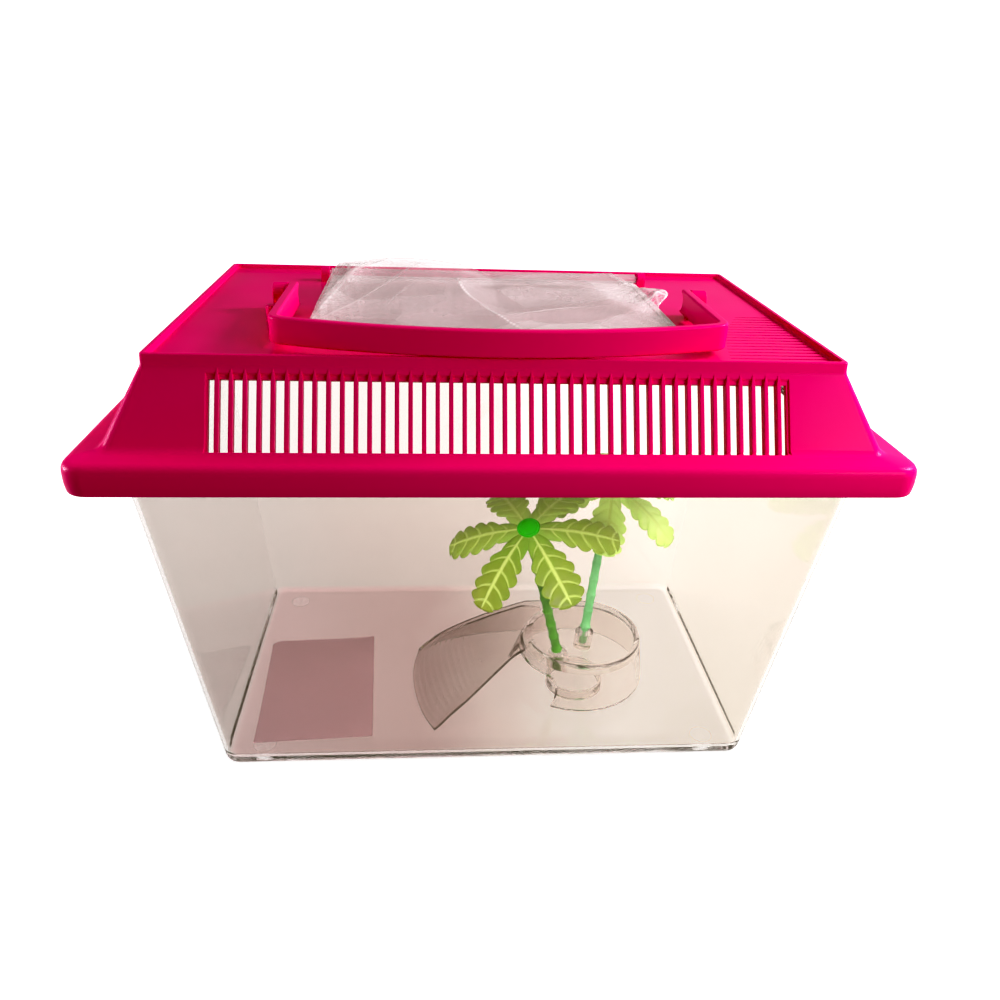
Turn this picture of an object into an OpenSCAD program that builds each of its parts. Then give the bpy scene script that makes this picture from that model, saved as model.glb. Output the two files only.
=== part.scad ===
// Small pet keeper: clear drafted tank, vented carry lid with a bail handle and
// a flip-up feeding hatch, a clear ramp island and two push-in palm trees.
// Frame: origin at the centre of the tank's base, +X along its length,
// +Y to the back, +Z up. Millimetres.

/* [Lid] */
// Length of the lid over its rim
lid_l = 293; // [290:1:296]
// Width of the lid over its rim
lid_w = 200; // [198:1:204]
// Height of the underside of the lid rim above the base
rim_z = 144; // [143:0.5:145]
// Height of the outer rim band
rim_h = 10.4; // [9:0.2:11]
// Length of the raised top panel
top_l = 244.4; // [243:0.2:246]
// Width of the raised top panel
top_w = 152.6; // [152:0.2:154]
// Height of the top edge of the lid above the base
top_z = 185.7; // [185.5:0.1:186]
// Wall of the lid
lid_wall = 2; // [1.8:0.1:2.2]
// Depth of the recess in the top panel
recess_d = 2; // [1.6:0.1:2.2]

/* [Vents] */
// Number of openings in the front and the back vent
vent_count = 44; // [30:1:44]
// Length of the front and the back vent
vent_l = 199.2; // [199.2:0.2:204]
// Distance from one vent opening to the next
vent_pitch = 4.6; // [4:0.1:4.6]
// Width of each bar between two openings
bar_w = 1.6; // [1.2:0.1:2.2]
// Number of slots in the top grille
grille_count = 17; // [8:1:18]
// Distance from one grille slot to the next
grille_pitch = 4; // [3.6:0.1:4]
// Width of a grille slot
grille_slot = 2; // [1.4:0.1:2.4]

/* [Hatch] */
// Half length of the hatch opening
hatch_x = 69; // [60:1:69]
// Front edge of the hatch opening
hatch_y0 = -44; // [-44:1:-36]
// Back edge of the hatch opening
hatch_y1 = 45; // [40:1:45]
// Thickness of the hatch door
door_t = 2; // [1.6:0.1:2.2]
// Radius of the door's hinge pins
door_pin_r = 1.5; // [1.2:0.1:1.6]

/* [Handle] */
// Half length of the handle over its two arms
handle_x = 81.8; // [81.4:0.1:82]
// Reach of the handle from its pivots to the middle of its bow
handle_y = 78; // [77:0.5:79]
// Thickness of the handle strap
strap_t = 3.6; // [3.2:0.1:4]
// Height of the handle strap
strap_h = 9.6; // [8.4:0.2:9.6]
// Radius of the handle's pivot pins
handle_pin_r = 2; // [1.8:0.1:2.2]

/* [Tank] */
// Length of the tank at its base
base_l = 229; // [226:0.2:230]
// Width of the tank at its base
base_w = 140; // [138:0.2:142]
// Length of the tank at the underside of the lid rim
mouth_l = 264.6; // [262:0.2:266]
// Width of the tank at the underside of the lid rim
mouth_w = 170.2; // [169:0.2:172]
// Wall of the tank
tank_wall = 1.7; // [1.5:0.1:2]

/* [Island] */
// Height of the island's platform
deck_z = 20; // [19:0.5:21]
// Wall of the island
island_wall = 1.6; // [1.4:0.1:2]
// Radius of the trunk pins that stand in the island
peg_r = 2; // [1.8:0.1:2.1]

/* [Palms] */
// Number of fronds on each crown
frond_count = 6; // [4:1:6]
// Length of a frond
frond_l = 37; // [30:1:38]

/* [Card] */
// Length of the loose card
card_l = 52; // [45:1:53]
// Width of the loose card
card_w = 78; // [70:1:80]

/* [Hidden] */
$fn = 48;
eps = 0.01;
run = 0.06;                       // radial play of every pin in its bore

ledge_in_l = lid_l - 22.2;        // foot of the sloping sides
ledge_in_w = lid_w - 19.2;
ledge_z = rim_z + 12.3;
slope_top_z = top_z - 4.2;        // the short upright band starts here
panel_z = top_z - recess_d;       // upper face of the recessed panel
panel_t = 2;
slope_run = (ledge_in_w - top_w) / 2;
slope_rise = slope_top_z - ledge_z;
slope_a = atan2(slope_run, slope_rise);

hinge_y = 51;                     // hatch hinge axis
hinge_z = top_z + 1.3;
pivot_y = -8;                     // handle pivot axis
strap_z = top_z + 0.3;
pivot_z = strap_z + strap_h / 2;

tank_top = rim_z + 7.8;           // top face of the tank's flange
foot_h = 0.4;
floor_top = 2.7;                   // upper face of the tank's floor

deck_t = 1.8;
trunk_r = 2.2;
lean_front = [12.4, -14.2];        // trunks lean to the front and along X, degrees from upright
lean_rear = [-10.2, 6.9];
root_front = [36.3, -17, deck_z];
root_rear = [53, 1, deck_z];
len_front = 76.9;
len_rear = 72.6;
peg_l = 8;

// Outline of a rectangle with round corners, n steps a corner
function rr_pts(l, w, r, n = 6) = [for (c = [[1, 1, 0], [-1, 1, 90], [-1, -1, 180], [1, -1, 270]])
    for (i = [0:n]) let (a = c[2] + 90 * i / n) [c[0] * (l / 2 - r) + r * cos(a), c[1] * (w / 2 - r) + r * sin(a)]];

// A thin slice of that outline, used as a station of a blended shell
module slice(l, w, r, z, n = 6) translate([0, 0, z]) linear_extrude(eps) polygon(rr_pts(l, w, r, n));
module slab(l, w, r, z, h, n = 6) translate([0, 0, z]) linear_extrude(h) polygon(rr_pts(l, w, r, n));

// ---------------------------------------------------------------- tank
function tank_l(z) = base_l + (mouth_l - base_l) * z / rim_z;
function tank_w(z) = base_w + (mouth_w - base_w) * z / rim_z;

module tank() color([0.93, 0.91, 0.92, 0.4]) {
    difference() {
        union() {
            hull() {
                slice(tank_l(0) - 2, tank_w(0) - 2, 5.4, foot_h);
                slice(tank_l(1) - 0.6, tank_w(1) - 0.6, 6, foot_h + 0.5);
                slice(tank_l(2), tank_w(2), 6.2, foot_h + 1.4);
                slice(tank_l(tank_top), tank_w(tank_top), 7.2, tank_top - eps);
            }
            // outward flange that carries the lid
            slab(lid_l - 13, lid_w - 10, 7.5, tank_top - 1.8, 1.8);
        }
        hull() {
            slice(tank_l(4) - 2 * tank_wall - 5, tank_w(4) - 2 * tank_wall - 5, 3.6, floor_top);
            slice(tank_l(6) - 2 * tank_wall, tank_w(6) - 2 * tank_wall, 4.6, floor_top + 2.5);
            slice(tank_l(tank_top + 1) - 2 * tank_wall, tank_w(tank_top + 1) - 2 * tank_wall, 5.6, tank_top + 1);
        }
    }
    // four moulded feet
    for (x = [-1, 1], y = [-1, 1]) translate([x * (base_l / 2 - 15.1), y * (base_w / 2 - 12.5), 0]) cylinder(r = 5, h = foot_h + 0.3);
    // stiffening gussets under the ends of the flange
    for (x = [-1, 1], y = [-1, 1]) translate([x * tank_l(tank_top) / 2, y * 62, tank_top - 1.8])
        rotate([90, 0, 0]) translate([0, 0, -0.8]) linear_extrude(1.6)
            polygon([[-x * 1.6, 0.3], [x * 6, 0.3], [x * 6, -1], [-x * 2, -15], [-x * 2.4, -15]]);
}

// ---------------------------------------------------------------- lid
// Solid form of the lid, drawn in by d all round and filled down by dz
module lid_form(d, z_low) {
    hull() {
        slice(lid_l - 2 * d - (d > 0 ? 0 : 1), lid_w - 2 * d - (d > 0 ? 0 : 1), 8.6 - d, z_low);
        slice(lid_l - 2 * d, lid_w - 2 * d, 9 - d, rim_z + 1);
        slice(lid_l - 2 * d, lid_w - 2 * d, 9 - d, rim_z + rim_h - 1.6 - d);
        slice(lid_l - 2 * d - 2.4, lid_w - 2 * d - 2.4, 7.8 - d, rim_z + rim_h - d);
        slice(ledge_in_l - 2 * d, ledge_in_w - 2 * d, 5, ledge_z - d);
    }
    hull() {
        slice(ledge_in_l - 2 * d, ledge_in_w - 2 * d, 4.4, ledge_z - d - 0.2);
        slice(top_l - 2 * d, top_w - 2 * d, 2, slope_top_z - d);
        slice(top_l - 2 * d - (d > 0 ? 0 : 0.8), top_w - 2 * d - (d > 0 ? 0 : 0.8), 1.8, (d > 0 ? panel_z - panel_t : top_z) - eps);
    }
}

// Frame of a vent: x along the vent, z up the slope, y out of the face; s = -1 front, 1 back
module on_slope(s) translate([0, s * ledge_in_w / 2, ledge_z]) rotate([s * slope_a, 0, 0]) children();

module vent_window(s) on_slope(s) translate([-vent_l / 2, -6, -0.2]) cube([vent_l, 12, 25]);
module vent_bars(s) on_slope(s) for (i = [1:vent_count - 1])
    translate([vent_pitch * (i - vent_count / 2) - bar_w / 2, s > 0 ? -2 : -0.8, -1.2]) cube([bar_w, 2.8, 29.4]);

module handle_lug(s) {
    difference() {
        union() {
            translate([s * (handle_x + 3.4) - 3, pivot_y, pivot_z]) rotate([0, 90, 0]) cylinder(r = 4.6, h = 6);
            translate([s * (handle_x + 3.4) - 3, pivot_y - 4.6, panel_z - 0.5]) cube([6, 9.2, pivot_z - panel_z + 0.5]);
        }
        translate([s * (handle_x + 3.4) - 4, pivot_y, pivot_z]) rotate([0, 90, 0]) cylinder(r = handle_pin_r + run, h = 8);
    }
    // rest post beside the arm
    translate([s * (handle_x + 4.6), pivot_y - 16, panel_z - 0.5]) cylinder(r = 2.6, h = 7);
}

module hinge_lug(s) difference() {
    union() {
        translate([s * 74.5 - 1.9, hinge_y, hinge_z]) rotate([0, 90, 0]) cylinder(r = 3.2, h = 3.8);
        translate([s * 74.5 - 1.9, hinge_y - 3.2, panel_z - 0.5]) cube([3.8, 6.4, hinge_z - panel_z + 0.5]);
    }
    translate([s * 74.5 - 3, hinge_y, hinge_z]) rotate([0, 90, 0]) cylinder(r = door_pin_r + run, h = 6);
}

module lid() color([0.93, 0.02, 0.36]) {
    difference() {
        lid_form(0, rim_z);
        lid_form(lid_wall, rim_z - 1);
        // recess inside the raised edge of the top
        slab(top_l - 4.4, top_w - 4.4, 2, panel_z, 5);
        vent_window(-1);
        vent_window(1);
        // hatch opening
        translate([-hatch_x, hatch_y0, panel_z - 10]) cube([2 * hatch_x, hatch_y1 - hatch_y0, 20]);
        // top grille on the right
        for (i = [0:grille_count - 1]) let (y = -66 + grille_pitch * i, x0 = 82.4 + 0.18 * (y + 66) + 0.0028 * (y + 66) * (y + 66))
            translate([min(x0, 110), y - grille_slot / 2, panel_z - 10]) cube([top_l / 2 - 3.4 - min(x0, 110), grille_slot, 20]);
    }
    vent_bars(-1);
    vent_bars(1);
    for (s = [-1, 1]) { handle_lug(s); hinge_lug(s); }
}

// ---------------------------------------------------------------- handle
// Outline of the bail in plan, r_c corner radius, r_b bow radius, x half length
function bail(x, r_c, r_b, yb, n = 10) = let (t = asin((x - r_c) / (r_b - r_c)), cy = yb - (r_b - r_c) * cos(t))
    concat([[-x, pivot_y]],
        [for (i = [0:n]) let (a = 180 + (90 - t) * i / n) [-(x - r_c) + r_c * cos(a), cy + r_c * sin(a)]],
        [for (i = [1:2 * n - 1]) let (a = -t + 2 * t * i / (2 * n)) [r_b * sin(a), yb - r_b * cos(a)]],
        [for (i = [n:-1:0]) let (a = 180 + (90 - t) * i / n) [(x - r_c) - r_c * cos(a), cy + r_c * sin(a)]],
        [[x, pivot_y]]);

module handle() color([0.85, 0.01, 0.30]) {
    bow = 240;
    yb = bow - handle_y;
    translate([0, 0, strap_z]) linear_extrude(strap_h)
        polygon(concat(bail(handle_x, 7, bow, yb), [for (p = [0:1]) [handle_x - strap_t * p, pivot_y]],
            [let (b = bail(handle_x - strap_t, 7 - strap_t, bow - strap_t, yb)) for (i = [len(b) - 1:-1:0]) b[i]]));
    for (s = [-1, 1]) {
        // round ends on the pivot axis
        translate([s * (handle_x - strap_t / 2) - strap_t / 2, pivot_y, pivot_z]) rotate([0, 90, 0]) cylinder(r = strap_h / 2, h = strap_t);
        // pivot pins
        translate([s > 0 ? handle_x - 0.5 : -handle_x - 6, pivot_y, pivot_z]) rotate([0, 90, 0]) cylinder(r = handle_pin_r, h = 6.5);
    }
}

// ---------------------------------------------------------------- hatch
module hatch_door() color([0.94, 0.94, 0.95, 0.4]) {
    difference() {
        slab(2 * 71.6, 94, 3, panel_z + 0.4, door_t);
        translate([-80, 47.5, panel_z]) cube([160, 20, 6]);
    }
    // web to the hinge barrel
    translate([-71.6, 40, panel_z + 0.4]) cube([143.2, hinge_y - 40, door_t]);
    translate([-71.9, hinge_y, hinge_z]) rotate([0, 90, 0]) cylinder(r = 2.4, h = 143.8);
    translate([-76, hinge_y, hinge_z]) rotate([0, 90, 0]) cylinder(r = door_pin_r, h = 152);
    // finger tab
    translate([-12, -52, panel_z + 0.4]) cube([24, 8, door_t]);
    // lip that drops into the opening
    difference() {
        translate([-hatch_x + 0.6, hatch_y0 + 0.6, panel_z - 1.4]) cube([2 * hatch_x - 1.2, 86, 2.2]);
        translate([-hatch_x + 1.8, hatch_y0 + 1.8, panel_z - 2]) cube([2 * hatch_x - 3.6, 83.6, 2.4]);
    }
}

// Loose clear film lying over the door: a thin sheet, low in front and bowed up at the back
function film_z(y) = 0.5 + 6.2 * pow(sin(90 * max(0, y + 44) / 84), 2);
module hatch_film() color([0.97, 0.95, 0.96, 0.5])
    translate([-70, 0, panel_z + 0.4 + door_t + 0.3]) rotate([90, 0, 90]) linear_extrude(138)
        polygon(concat([[-57, 0.5]], [for (i = [0:12]) let (y = -44 + 7 * i) [y, film_z(y)]],
            [for (i = [12:-1:0]) let (y = -44 + 7 * i) [y, film_z(y) - 0.4]], [[-57, 0.1]]));

// ---------------------------------------------------------------- island
ramp_plan = [[-24, -53], [-16, -45], [-8, -38], [3, -27], [9, -21], [17, -14], [27, -10], [32, 0], [32, 22.5], [14, 24.5],
    [0, 22.5], [-12, 19.5], [-21, 16], [-28, 11], [-32, 7], [-34, -3], [-34.5, -14], [-33, -27], [-29.5, -41]];
curb_plan = [[-32, 7], [-28, 11], [-21, 16], [-12, 19.5], [0, 22.5], [14, 24.5], [30, 25.5], [45, 25.5],
    [45, 23.6], [30, 23.7], [14.2, 22.8], [0.4, 20.8], [-11.4, 17.9], [-20, 14.5], [-26.8, 9.8], [-30.8, 5.9]];
ramp_a = 16.2;                    // slope of the ramp
ramp_turn = 7.6;                  // its uphill direction, from +X
floor_z = floor_top + 0.1; // what stands loose in the tank starts here

// Everything under the ramp's slope, raised by dz
module under_slope(dz) rotate([0, 0, ramp_turn]) translate([-32.5, -80, floor_z + 0.5 + dz]) rotate([0, -ramp_a, 0]) translate([-40, 0, -60]) cube([140, 160, 60]);
module deck_form(d, z1) hull() {
    translate([47, -8, floor_z - (d > 0 ? 1 : 0)]) cylinder(r = 34 - d, h = eps, $fn = 64);
    translate([51, -3, z1]) cylinder(r = 28.6 - d, h = eps, $fn = 64);
}
// Socket direction: leaning by a[0] to the front and a[1] along X
module lean(p, a) translate(p) rotate([a[0], a[1], 0]) children();

module island() color([0.93, 0.92, 0.93, 0.4]) {
    difference() {
        union() {
            difference() {
                deck_form(0, deck_z + 2);
                // cave mouth, open on to the space under the ramp
                translate([33, -19, -1]) rotate([0, 0, 42]) translate([-40, -16, 0]) cube([40, 46, 15]);
            }
            intersection() {
                translate([0, 0, floor_z]) linear_extrude(deck_z - floor_z) polygon(ramp_plan);
                difference() { under_slope(0); under_slope(-1.8); }
            }
            intersection() {
                translate([0, 0, floor_z]) linear_extrude(deck_z + 2 - floor_z) polygon(curb_plan);
                under_slope(1.3);
            }
        }
        difference() {
            deck_form(island_wall, deck_z - deck_t);
            // bosses that hold the trunk pegs
            lean(root_front, lean_front) translate([0, 0, -11]) cylinder(r = 4.6, h = 12);
            lean(root_rear, lean_rear) translate([0, 0, -11]) cylinder(r = 4.6, h = 12);
        }
        // dished deck inside the curb
        translate([51, -3, deck_z]) cylinder(r = 26.4, h = 6);
        // the ramp runs onto the deck
        translate([0, -11, deck_z]) cube([40, 33.6, 6]);
        // peg sockets
        lean(root_front, lean_front) translate([0, 0, -peg_l - 0.5]) cylinder(r = peg_r + run, h = 20);
        lean(root_rear, lean_rear) translate([0, 0, -peg_l - 0.5]) cylinder(r = peg_r + run, h = 20);
    }
}

// ---------------------------------------------------------------- palms
module trunk(len) {
    translate([0, 0, -peg_l]) cylinder(r = peg_r, h = peg_l + 2);
    translate([0, 0, 1.2]) cylinder(r = 2.7, h = 1.2);
    translate([0, 0, 1.2]) cylinder(r = trunk_r, h = len - 1.2);
    for (i = [1:7]) translate([0, 0, i * (len - 4) / 8]) cylinder(r = trunk_r + 0.25, h = 0.8);
    translate([0, 0, len - 1]) cylinder(r = 1.6, h = 5);
}

// One lobed frond lying along +X in three lengths that droop more and more
function frond_w(t) = (3.4 + 4.6 * pow(sin(180 * min(0.93, 0.06 + 0.86 * t)), 0.8)) * (0.84 + 0.16 * abs(sin(180 * 6 * t)));
module frond_part(l, t0, t1, n = 9) let (s = [for (i = [0:n]) let (t = t0 + (t1 - t0) * i / n) [(t - t0) * l, frond_w(t)]])
    linear_extrude(1.2) polygon(concat(s, [for (i = [n:-1:0]) [s[i][0], -s[i][1]]]));
module frond(l) translate([3.6, 0, 0]) rotate([0, 4, 0]) {
    frond_part(l, 0, 0.36);
    translate([l * 0.33, 0, 0]) rotate([0, 13, 0]) {
        frond_part(l, 0.33, 0.69);
        translate([l * 0.33, 0, 0]) rotate([0, 13, 0]) frond_part(l, 0.66, 1);
    }
}
// Crown: its axis is tipped to the front by tip and turned by spin
module crown(tip, spin, len) difference() {
    translate([0, 0, len]) rotate([tip, 0, 0]) rotate([0, 0, spin]) {
        cylinder(r1 = 4.2, r2 = 5.8, h = 6);
        translate([0, 0, 6]) cylinder(r = 5.8, h = 1.6);
        for (i = [0:frond_count - 1]) rotate([0, 0, 360 * i / frond_count]) translate([0, 0, 4.6]) frond(frond_l);
    }
    translate([0, 0, len - 6]) cylinder(r = trunk_r + 0.5, h = 6.02);
    translate([0, 0, len - 2]) cylinder(r = 1.66, h = 7);
}

module palm_trunk_front() color([0.12, 0.55, 0.10]) lean(root_front, lean_front) trunk(len_front);
module palm_crown_front() color([0.55, 0.72, 0.16]) lean(root_front, lean_front) crown(6.9, -14, len_front + 0.1);
module palm_trunk_rear() color([0.10, 0.55, 0.30]) lean(root_rear, lean_rear) trunk(len_rear);
module palm_crown_rear() color([0.55, 0.72, 0.16]) lean(root_rear, lean_rear) crown(26.6, -99, len_rear + 0.1);

// ---------------------------------------------------------------- card
// A loose card on the tank floor, curling up a little at its front edge
function curl(y) = 2.4 * pow(max(0, (-y - card_w / 2 + 40) / 40), 2);
module care_card() color([0.62, 0.47, 0.50]) translate([-79.6, -20.8, floor_top + 0.1]) rotate([0, 0, 3]) translate([-card_l / 2, 0, 0])
    rotate([90, 0, 90]) linear_extrude(card_l) polygon(concat([for (i = [0:10]) let (y = -card_w / 2 + card_w * i / 10) [y, curl(y)]],
        [for (i = [10:-1:0]) let (y = -card_w / 2 + card_w * i / 10) [y, curl(y) + 0.6]]));

tank();
lid();
handle();
hatch_door();
hatch_film();
island();
palm_trunk_front();
palm_crown_front();
palm_trunk_rear();
palm_crown_rear();
care_card();
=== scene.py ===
import math

import bmesh
import bpy
import numpy as np
from mathutils import Matrix, Vector, noise


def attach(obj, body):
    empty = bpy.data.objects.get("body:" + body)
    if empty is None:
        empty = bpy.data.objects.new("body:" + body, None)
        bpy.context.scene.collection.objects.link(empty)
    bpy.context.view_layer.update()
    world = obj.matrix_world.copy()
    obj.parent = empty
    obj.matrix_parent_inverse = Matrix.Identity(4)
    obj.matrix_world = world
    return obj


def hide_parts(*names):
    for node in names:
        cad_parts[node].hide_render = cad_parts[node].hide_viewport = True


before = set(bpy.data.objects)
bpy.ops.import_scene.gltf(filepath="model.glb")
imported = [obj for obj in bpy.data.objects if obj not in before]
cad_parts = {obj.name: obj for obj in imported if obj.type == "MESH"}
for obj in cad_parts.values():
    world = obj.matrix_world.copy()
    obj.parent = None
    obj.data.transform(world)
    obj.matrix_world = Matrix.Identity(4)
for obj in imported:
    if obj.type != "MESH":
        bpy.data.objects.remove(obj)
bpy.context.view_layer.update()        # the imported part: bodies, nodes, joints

MM = 0.001
scene = bpy.context.scene
LIT = bpy.data.collections.new("object_pieces")
INSIDE = bpy.data.collections.new("inside_pieces")
LEFT = bpy.data.collections.new("left_lit_pieces")


# ------------------------------------------------------------------ camera and light
def add_camera():
    data = bpy.data.cameras.new("camera")
    data.sensor_fit, data.sensor_width, data.lens = "HORIZONTAL", 36.0, 30.6
    data.clip_start, data.clip_end = 0.01, 60
    cam = bpy.data.objects.new("camera", data)
    right = Vector((0.99692476, -0.07004399, 0.03514073))
    up = Vector((-0.000386887, 0.444020629, 0.89601648))
    ahead = Vector((0.07836378, 0.89327461, -0.44262806))
    m = Matrix((right, up, -ahead)).transposed().to_4x4()
    m.translation = Vector((-24.5276, -356.5414, 270.6887)) * MM
    scene.collection.objects.link(cam)
    cam.matrix_world = m
    scene.camera = cam


def area_light(name, place, aim, size, watts, colour, size_y=None):
    data = bpy.data.lights.new(name, "AREA")
    data.shape = "RECTANGLE" if size_y else "SQUARE"
    data.size = size
    if size_y:
        data.size_y = size_y
    data.energy, data.color = watts, colour
    ob = bpy.data.objects.new(name, data)
    scene.collection.objects.link(ob)
    ob.location = place
    ob.rotation_mode = "QUATERNION"
    ob.rotation_quaternion = (Vector(aim) - Vector(place)).to_track_quat("-Z", "Y")
    return ob


def new_material(name):
    mat = bpy.data.materials.new(name)
    mat.use_nodes = True
    nt = mat.node_tree
    nt.nodes.clear()
    out = nt.nodes.new("ShaderNodeOutputMaterial")
    return mat, nt, out


def studio():
    """Bright sweep all round, a soft dome that is stronger at the right, two soft lamps at the right."""
    world = bpy.data.worlds.new("studio")
    scene.world = world
    world.use_nodes = True
    nt = world.node_tree
    bg = nt.nodes["Background"]
    bg.inputs["Color"].default_value = (1.0, 0.985, 0.97, 1)
    tc = nt.nodes.new("ShaderNodeTexCoord")
    above = None
    for axis, weight in (((1, 0, 0), 1.00), ((-1, 0, 0), 0.10), ((0, 1, 0), 0.34), ((0, -1, 0), 0.03), ((0, 0, 1), 0.30)):
        dot = nt.nodes.new("ShaderNodeVectorMath")
        dot.operation = "DOT_PRODUCT"
        dot.inputs[1].default_value = tuple(weight * v for v in axis)
        nt.links.new(tc.outputs["Generated"], dot.inputs[0])
        part = nt.nodes.new("ShaderNodeMath")
        part.operation = "MAXIMUM"
        part.inputs[1].default_value = 0.0
        nt.links.new(dot.outputs["Value"], part.inputs[0])
        if above is None:
            above = part
        else:
            add = nt.nodes.new("ShaderNodeMath")
            add.operation = "ADD"
            nt.links.new(above.outputs[0], add.inputs[0])
            nt.links.new(part.outputs[0], add.inputs[1])
            above = add
    sep = nt.nodes.new("ShaderNodeSeparateXYZ")
    nt.links.new(tc.outputs["Generated"], sep.inputs[0])
    side = nt.nodes.new("ShaderNodeMapRange")
    side.inputs["From Min"].default_value, side.inputs["From Max"].default_value = -0.08, 0.04
    nt.links.new(sep.outputs["Z"], side.inputs["Value"])
    mix = nt.nodes.new("ShaderNodeMix")
    mix.inputs["A"].default_value = 0.25
    nt.links.new(side.outputs["Result"], mix.inputs["Factor"])
    nt.links.new(above.outputs[0], mix.inputs["B"])
    nt.links.new(mix.outputs["Result"], bg.inputs["Strength"])
    key = area_light("key", (0.60, 0.05, 0.54), (0.02, -0.02, 0.14), 0.15, 3.7, (1.0, 0.96, 0.99))
    near = area_light("near", (0.30, -0.30, 0.30), (0.02, -0.02, 0.14), 0.15, 0.80, (1.0, 0.95, 0.96))
    for lamp in (key, near):
        lamp.light_linking.receiver_collection = LIT
    low_left = area_light("low_left", (-0.52, 0.0, 0.215), (0.10, 0.0, 0.17), 0.15, 1.8, (1.0, 0.96, 0.99))
    low_left.light_linking.receiver_collection = LEFT
    # the clear walls let a front fill reach what stands inside
    for name, place, aim, watts in (("card_fill", (-0.04, -0.52, 0.36), (-0.05, -0.02, 0.0), 5.6), ("leaf_fill", (-0.02, -0.52, 0.33), (0.01, 0.0, 0.10), 3.9)):
        fill = area_light(name, place, aim, 0.24, watts, (1.0, 0.98, 0.95))
        fill.light_linking.receiver_collection = INSIDE
    rim = area_light("leaf_rim", (0.34, 0.46, 0.13), (0.03, 0.0, 0.12), 0.24, 5.0, (1.0, 1.0, 0.95))
    rim.light_linking.receiver_collection = INSIDE
    # pale floor that sweeps up into a backdrop all round
    n = 96
    wall = [(3.0, 0.0)] + [(3.0 + 2.5 * math.sin(a), 2.5 - 2.5 * math.cos(a)) for a in (math.radians(6 * k) for k in range(1, 16))] + [(5.5, 5.0)]
    sweep = []
    for name, rings in (("floor", [(0.001, 0.0), (1.0, 0.0), (3.0, 0.0)]), ("backdrop", wall)):
        verts = [(r * math.cos(2 * math.pi * i / n), r * math.sin(2 * math.pi * i / n), z) for r, z in rings for i in range(n)]
        faces = [tuple(range(n))] if name == "floor" else []
        for k in range(len(rings) - 1):
            faces += [(k * n + i, k * n + (i + 1) % n, (k + 1) * n + (i + 1) % n, (k + 1) * n + i) for i in range(n)]
        me = bpy.data.meshes.new(name)
        me.from_pydata(verts, [], faces)
        for q in me.polygons:
            q.use_smooth = True
        sweep.append(bpy.data.objects.new(name, me))
        scene.collection.objects.link(sweep[-1])
    mat, nt, out = new_material("pale_floor")
    b = nt.nodes.new("ShaderNodeBsdfPrincipled")
    b.inputs["Base Color"].default_value = (0.90, 0.895, 0.89, 1)
    b.inputs["Roughness"].default_value = 0.9
    b.inputs["Specular IOR Level"].default_value = 0.0
    b.inputs["Emission Color"].default_value = (1.0, 0.995, 0.99, 1)
    b.inputs["Emission Strength"].default_value = 0.86
    nt.links.new(b.outputs[0], out.inputs["Surface"])
    # the sweep is a backdrop: lamps and dome light the object, and it stays even behind it
    for ob in sweep:
        ob.data.materials.append(mat)
        ob.visible_diffuse = False
        ob.visible_shadow = False
    sweep[1].visible_glossy = False
    view = scene.view_settings
    view.view_transform = "Standard"
    view.look = "None"
    view.use_curve_mapping = True
    grade = view.curve_mapping
    grade.black_level = (0.024, 0.028, 0.058)
    points = grade.curves[3].points
    points[0].location, points[-1].location = (0.0, 0.0), (1.0, 1.06)
    for place in ((0.10, 0.045), (0.25, 0.165), (0.50, 0.43), (0.75, 0.76)):
        points.new(*place)
    grade.update()
    scene.cycles.max_bounces = 44
    scene.cycles.transmission_bounces = 36
    scene.cycles.transparent_max_bounces = 32
    scene.cycles.diffuse_bounces = 5
    scene.cycles.glossy_bounces = 36
    scene.cycles.caustics_reflective = False
    scene.cycles.caustics_refractive = False
    scene.cycles.sample_clamp_indirect = 6.0


# ------------------------------------------------------------------ mesh helpers
def link_mesh(name, verts, faces, scale=MM):
    me = bpy.data.meshes.new(name)
    me.from_pydata([(x * scale, y * scale, z * scale) for x, y, z in verts], [], faces)
    me.update()
    ob = bpy.data.objects.new(name, me)
    scene.collection.objects.link(ob)
    return ob


def clean(ob, merge=0.000004):
    bm = bmesh.new()
    bm.from_mesh(ob.data)
    bmesh.ops.remove_doubles(bm, verts=bm.verts, dist=merge)
    bmesh.ops.recalc_face_normals(bm, faces=bm.faces)
    bm.to_mesh(ob.data)
    bm.free()
    ob.data.update()
    return ob


def smooth(ob, angle=34, weighted=True):
    bm = bmesh.new()
    bm.from_mesh(ob.data)
    lim = math.radians(angle)
    for f in bm.faces:
        f.smooth = True
    for e in bm.edges:
        e.smooth = len(e.link_faces) == 2 and e.calc_face_angle(0.0) < lim
    bm.to_mesh(ob.data)
    bm.free()
    if weighted:
        m = ob.modifiers.new("normals", "WEIGHTED_NORMAL")
        m.keep_sharp, m.weight = True, 50
    return ob


def bake_modifiers(ob):
    dg = bpy.context.evaluated_depsgraph_get()
    me = bpy.data.meshes.new_from_object(ob.evaluated_get(dg), depsgraph=dg)
    ob.modifiers.clear()
    old = ob.data
    ob.data = me
    me.name = ob.name
    bpy.data.meshes.remove(old)
    return ob


def boolean(ob, other, op):
    m = ob.modifiers.new("bool", "BOOLEAN")
    m.operation, m.object, m.solver = op, other, "EXACT"
    bake_modifiers(ob)
    data = other.data
    bpy.data.objects.remove(other)
    bpy.data.meshes.remove(data)
    return ob


def bevel(ob, width, segments=2, angle=38):
    m = ob.modifiers.new("bevel", "BEVEL")
    m.width, m.segments, m.limit_method, m.angle_limit = width * MM, segments, "ANGLE", math.radians(angle)
    m.use_clamp_overlap, m.harden_normals, m.miter_outer = True, False, "MITER_ARC"
    return bake_modifiers(ob)


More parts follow.
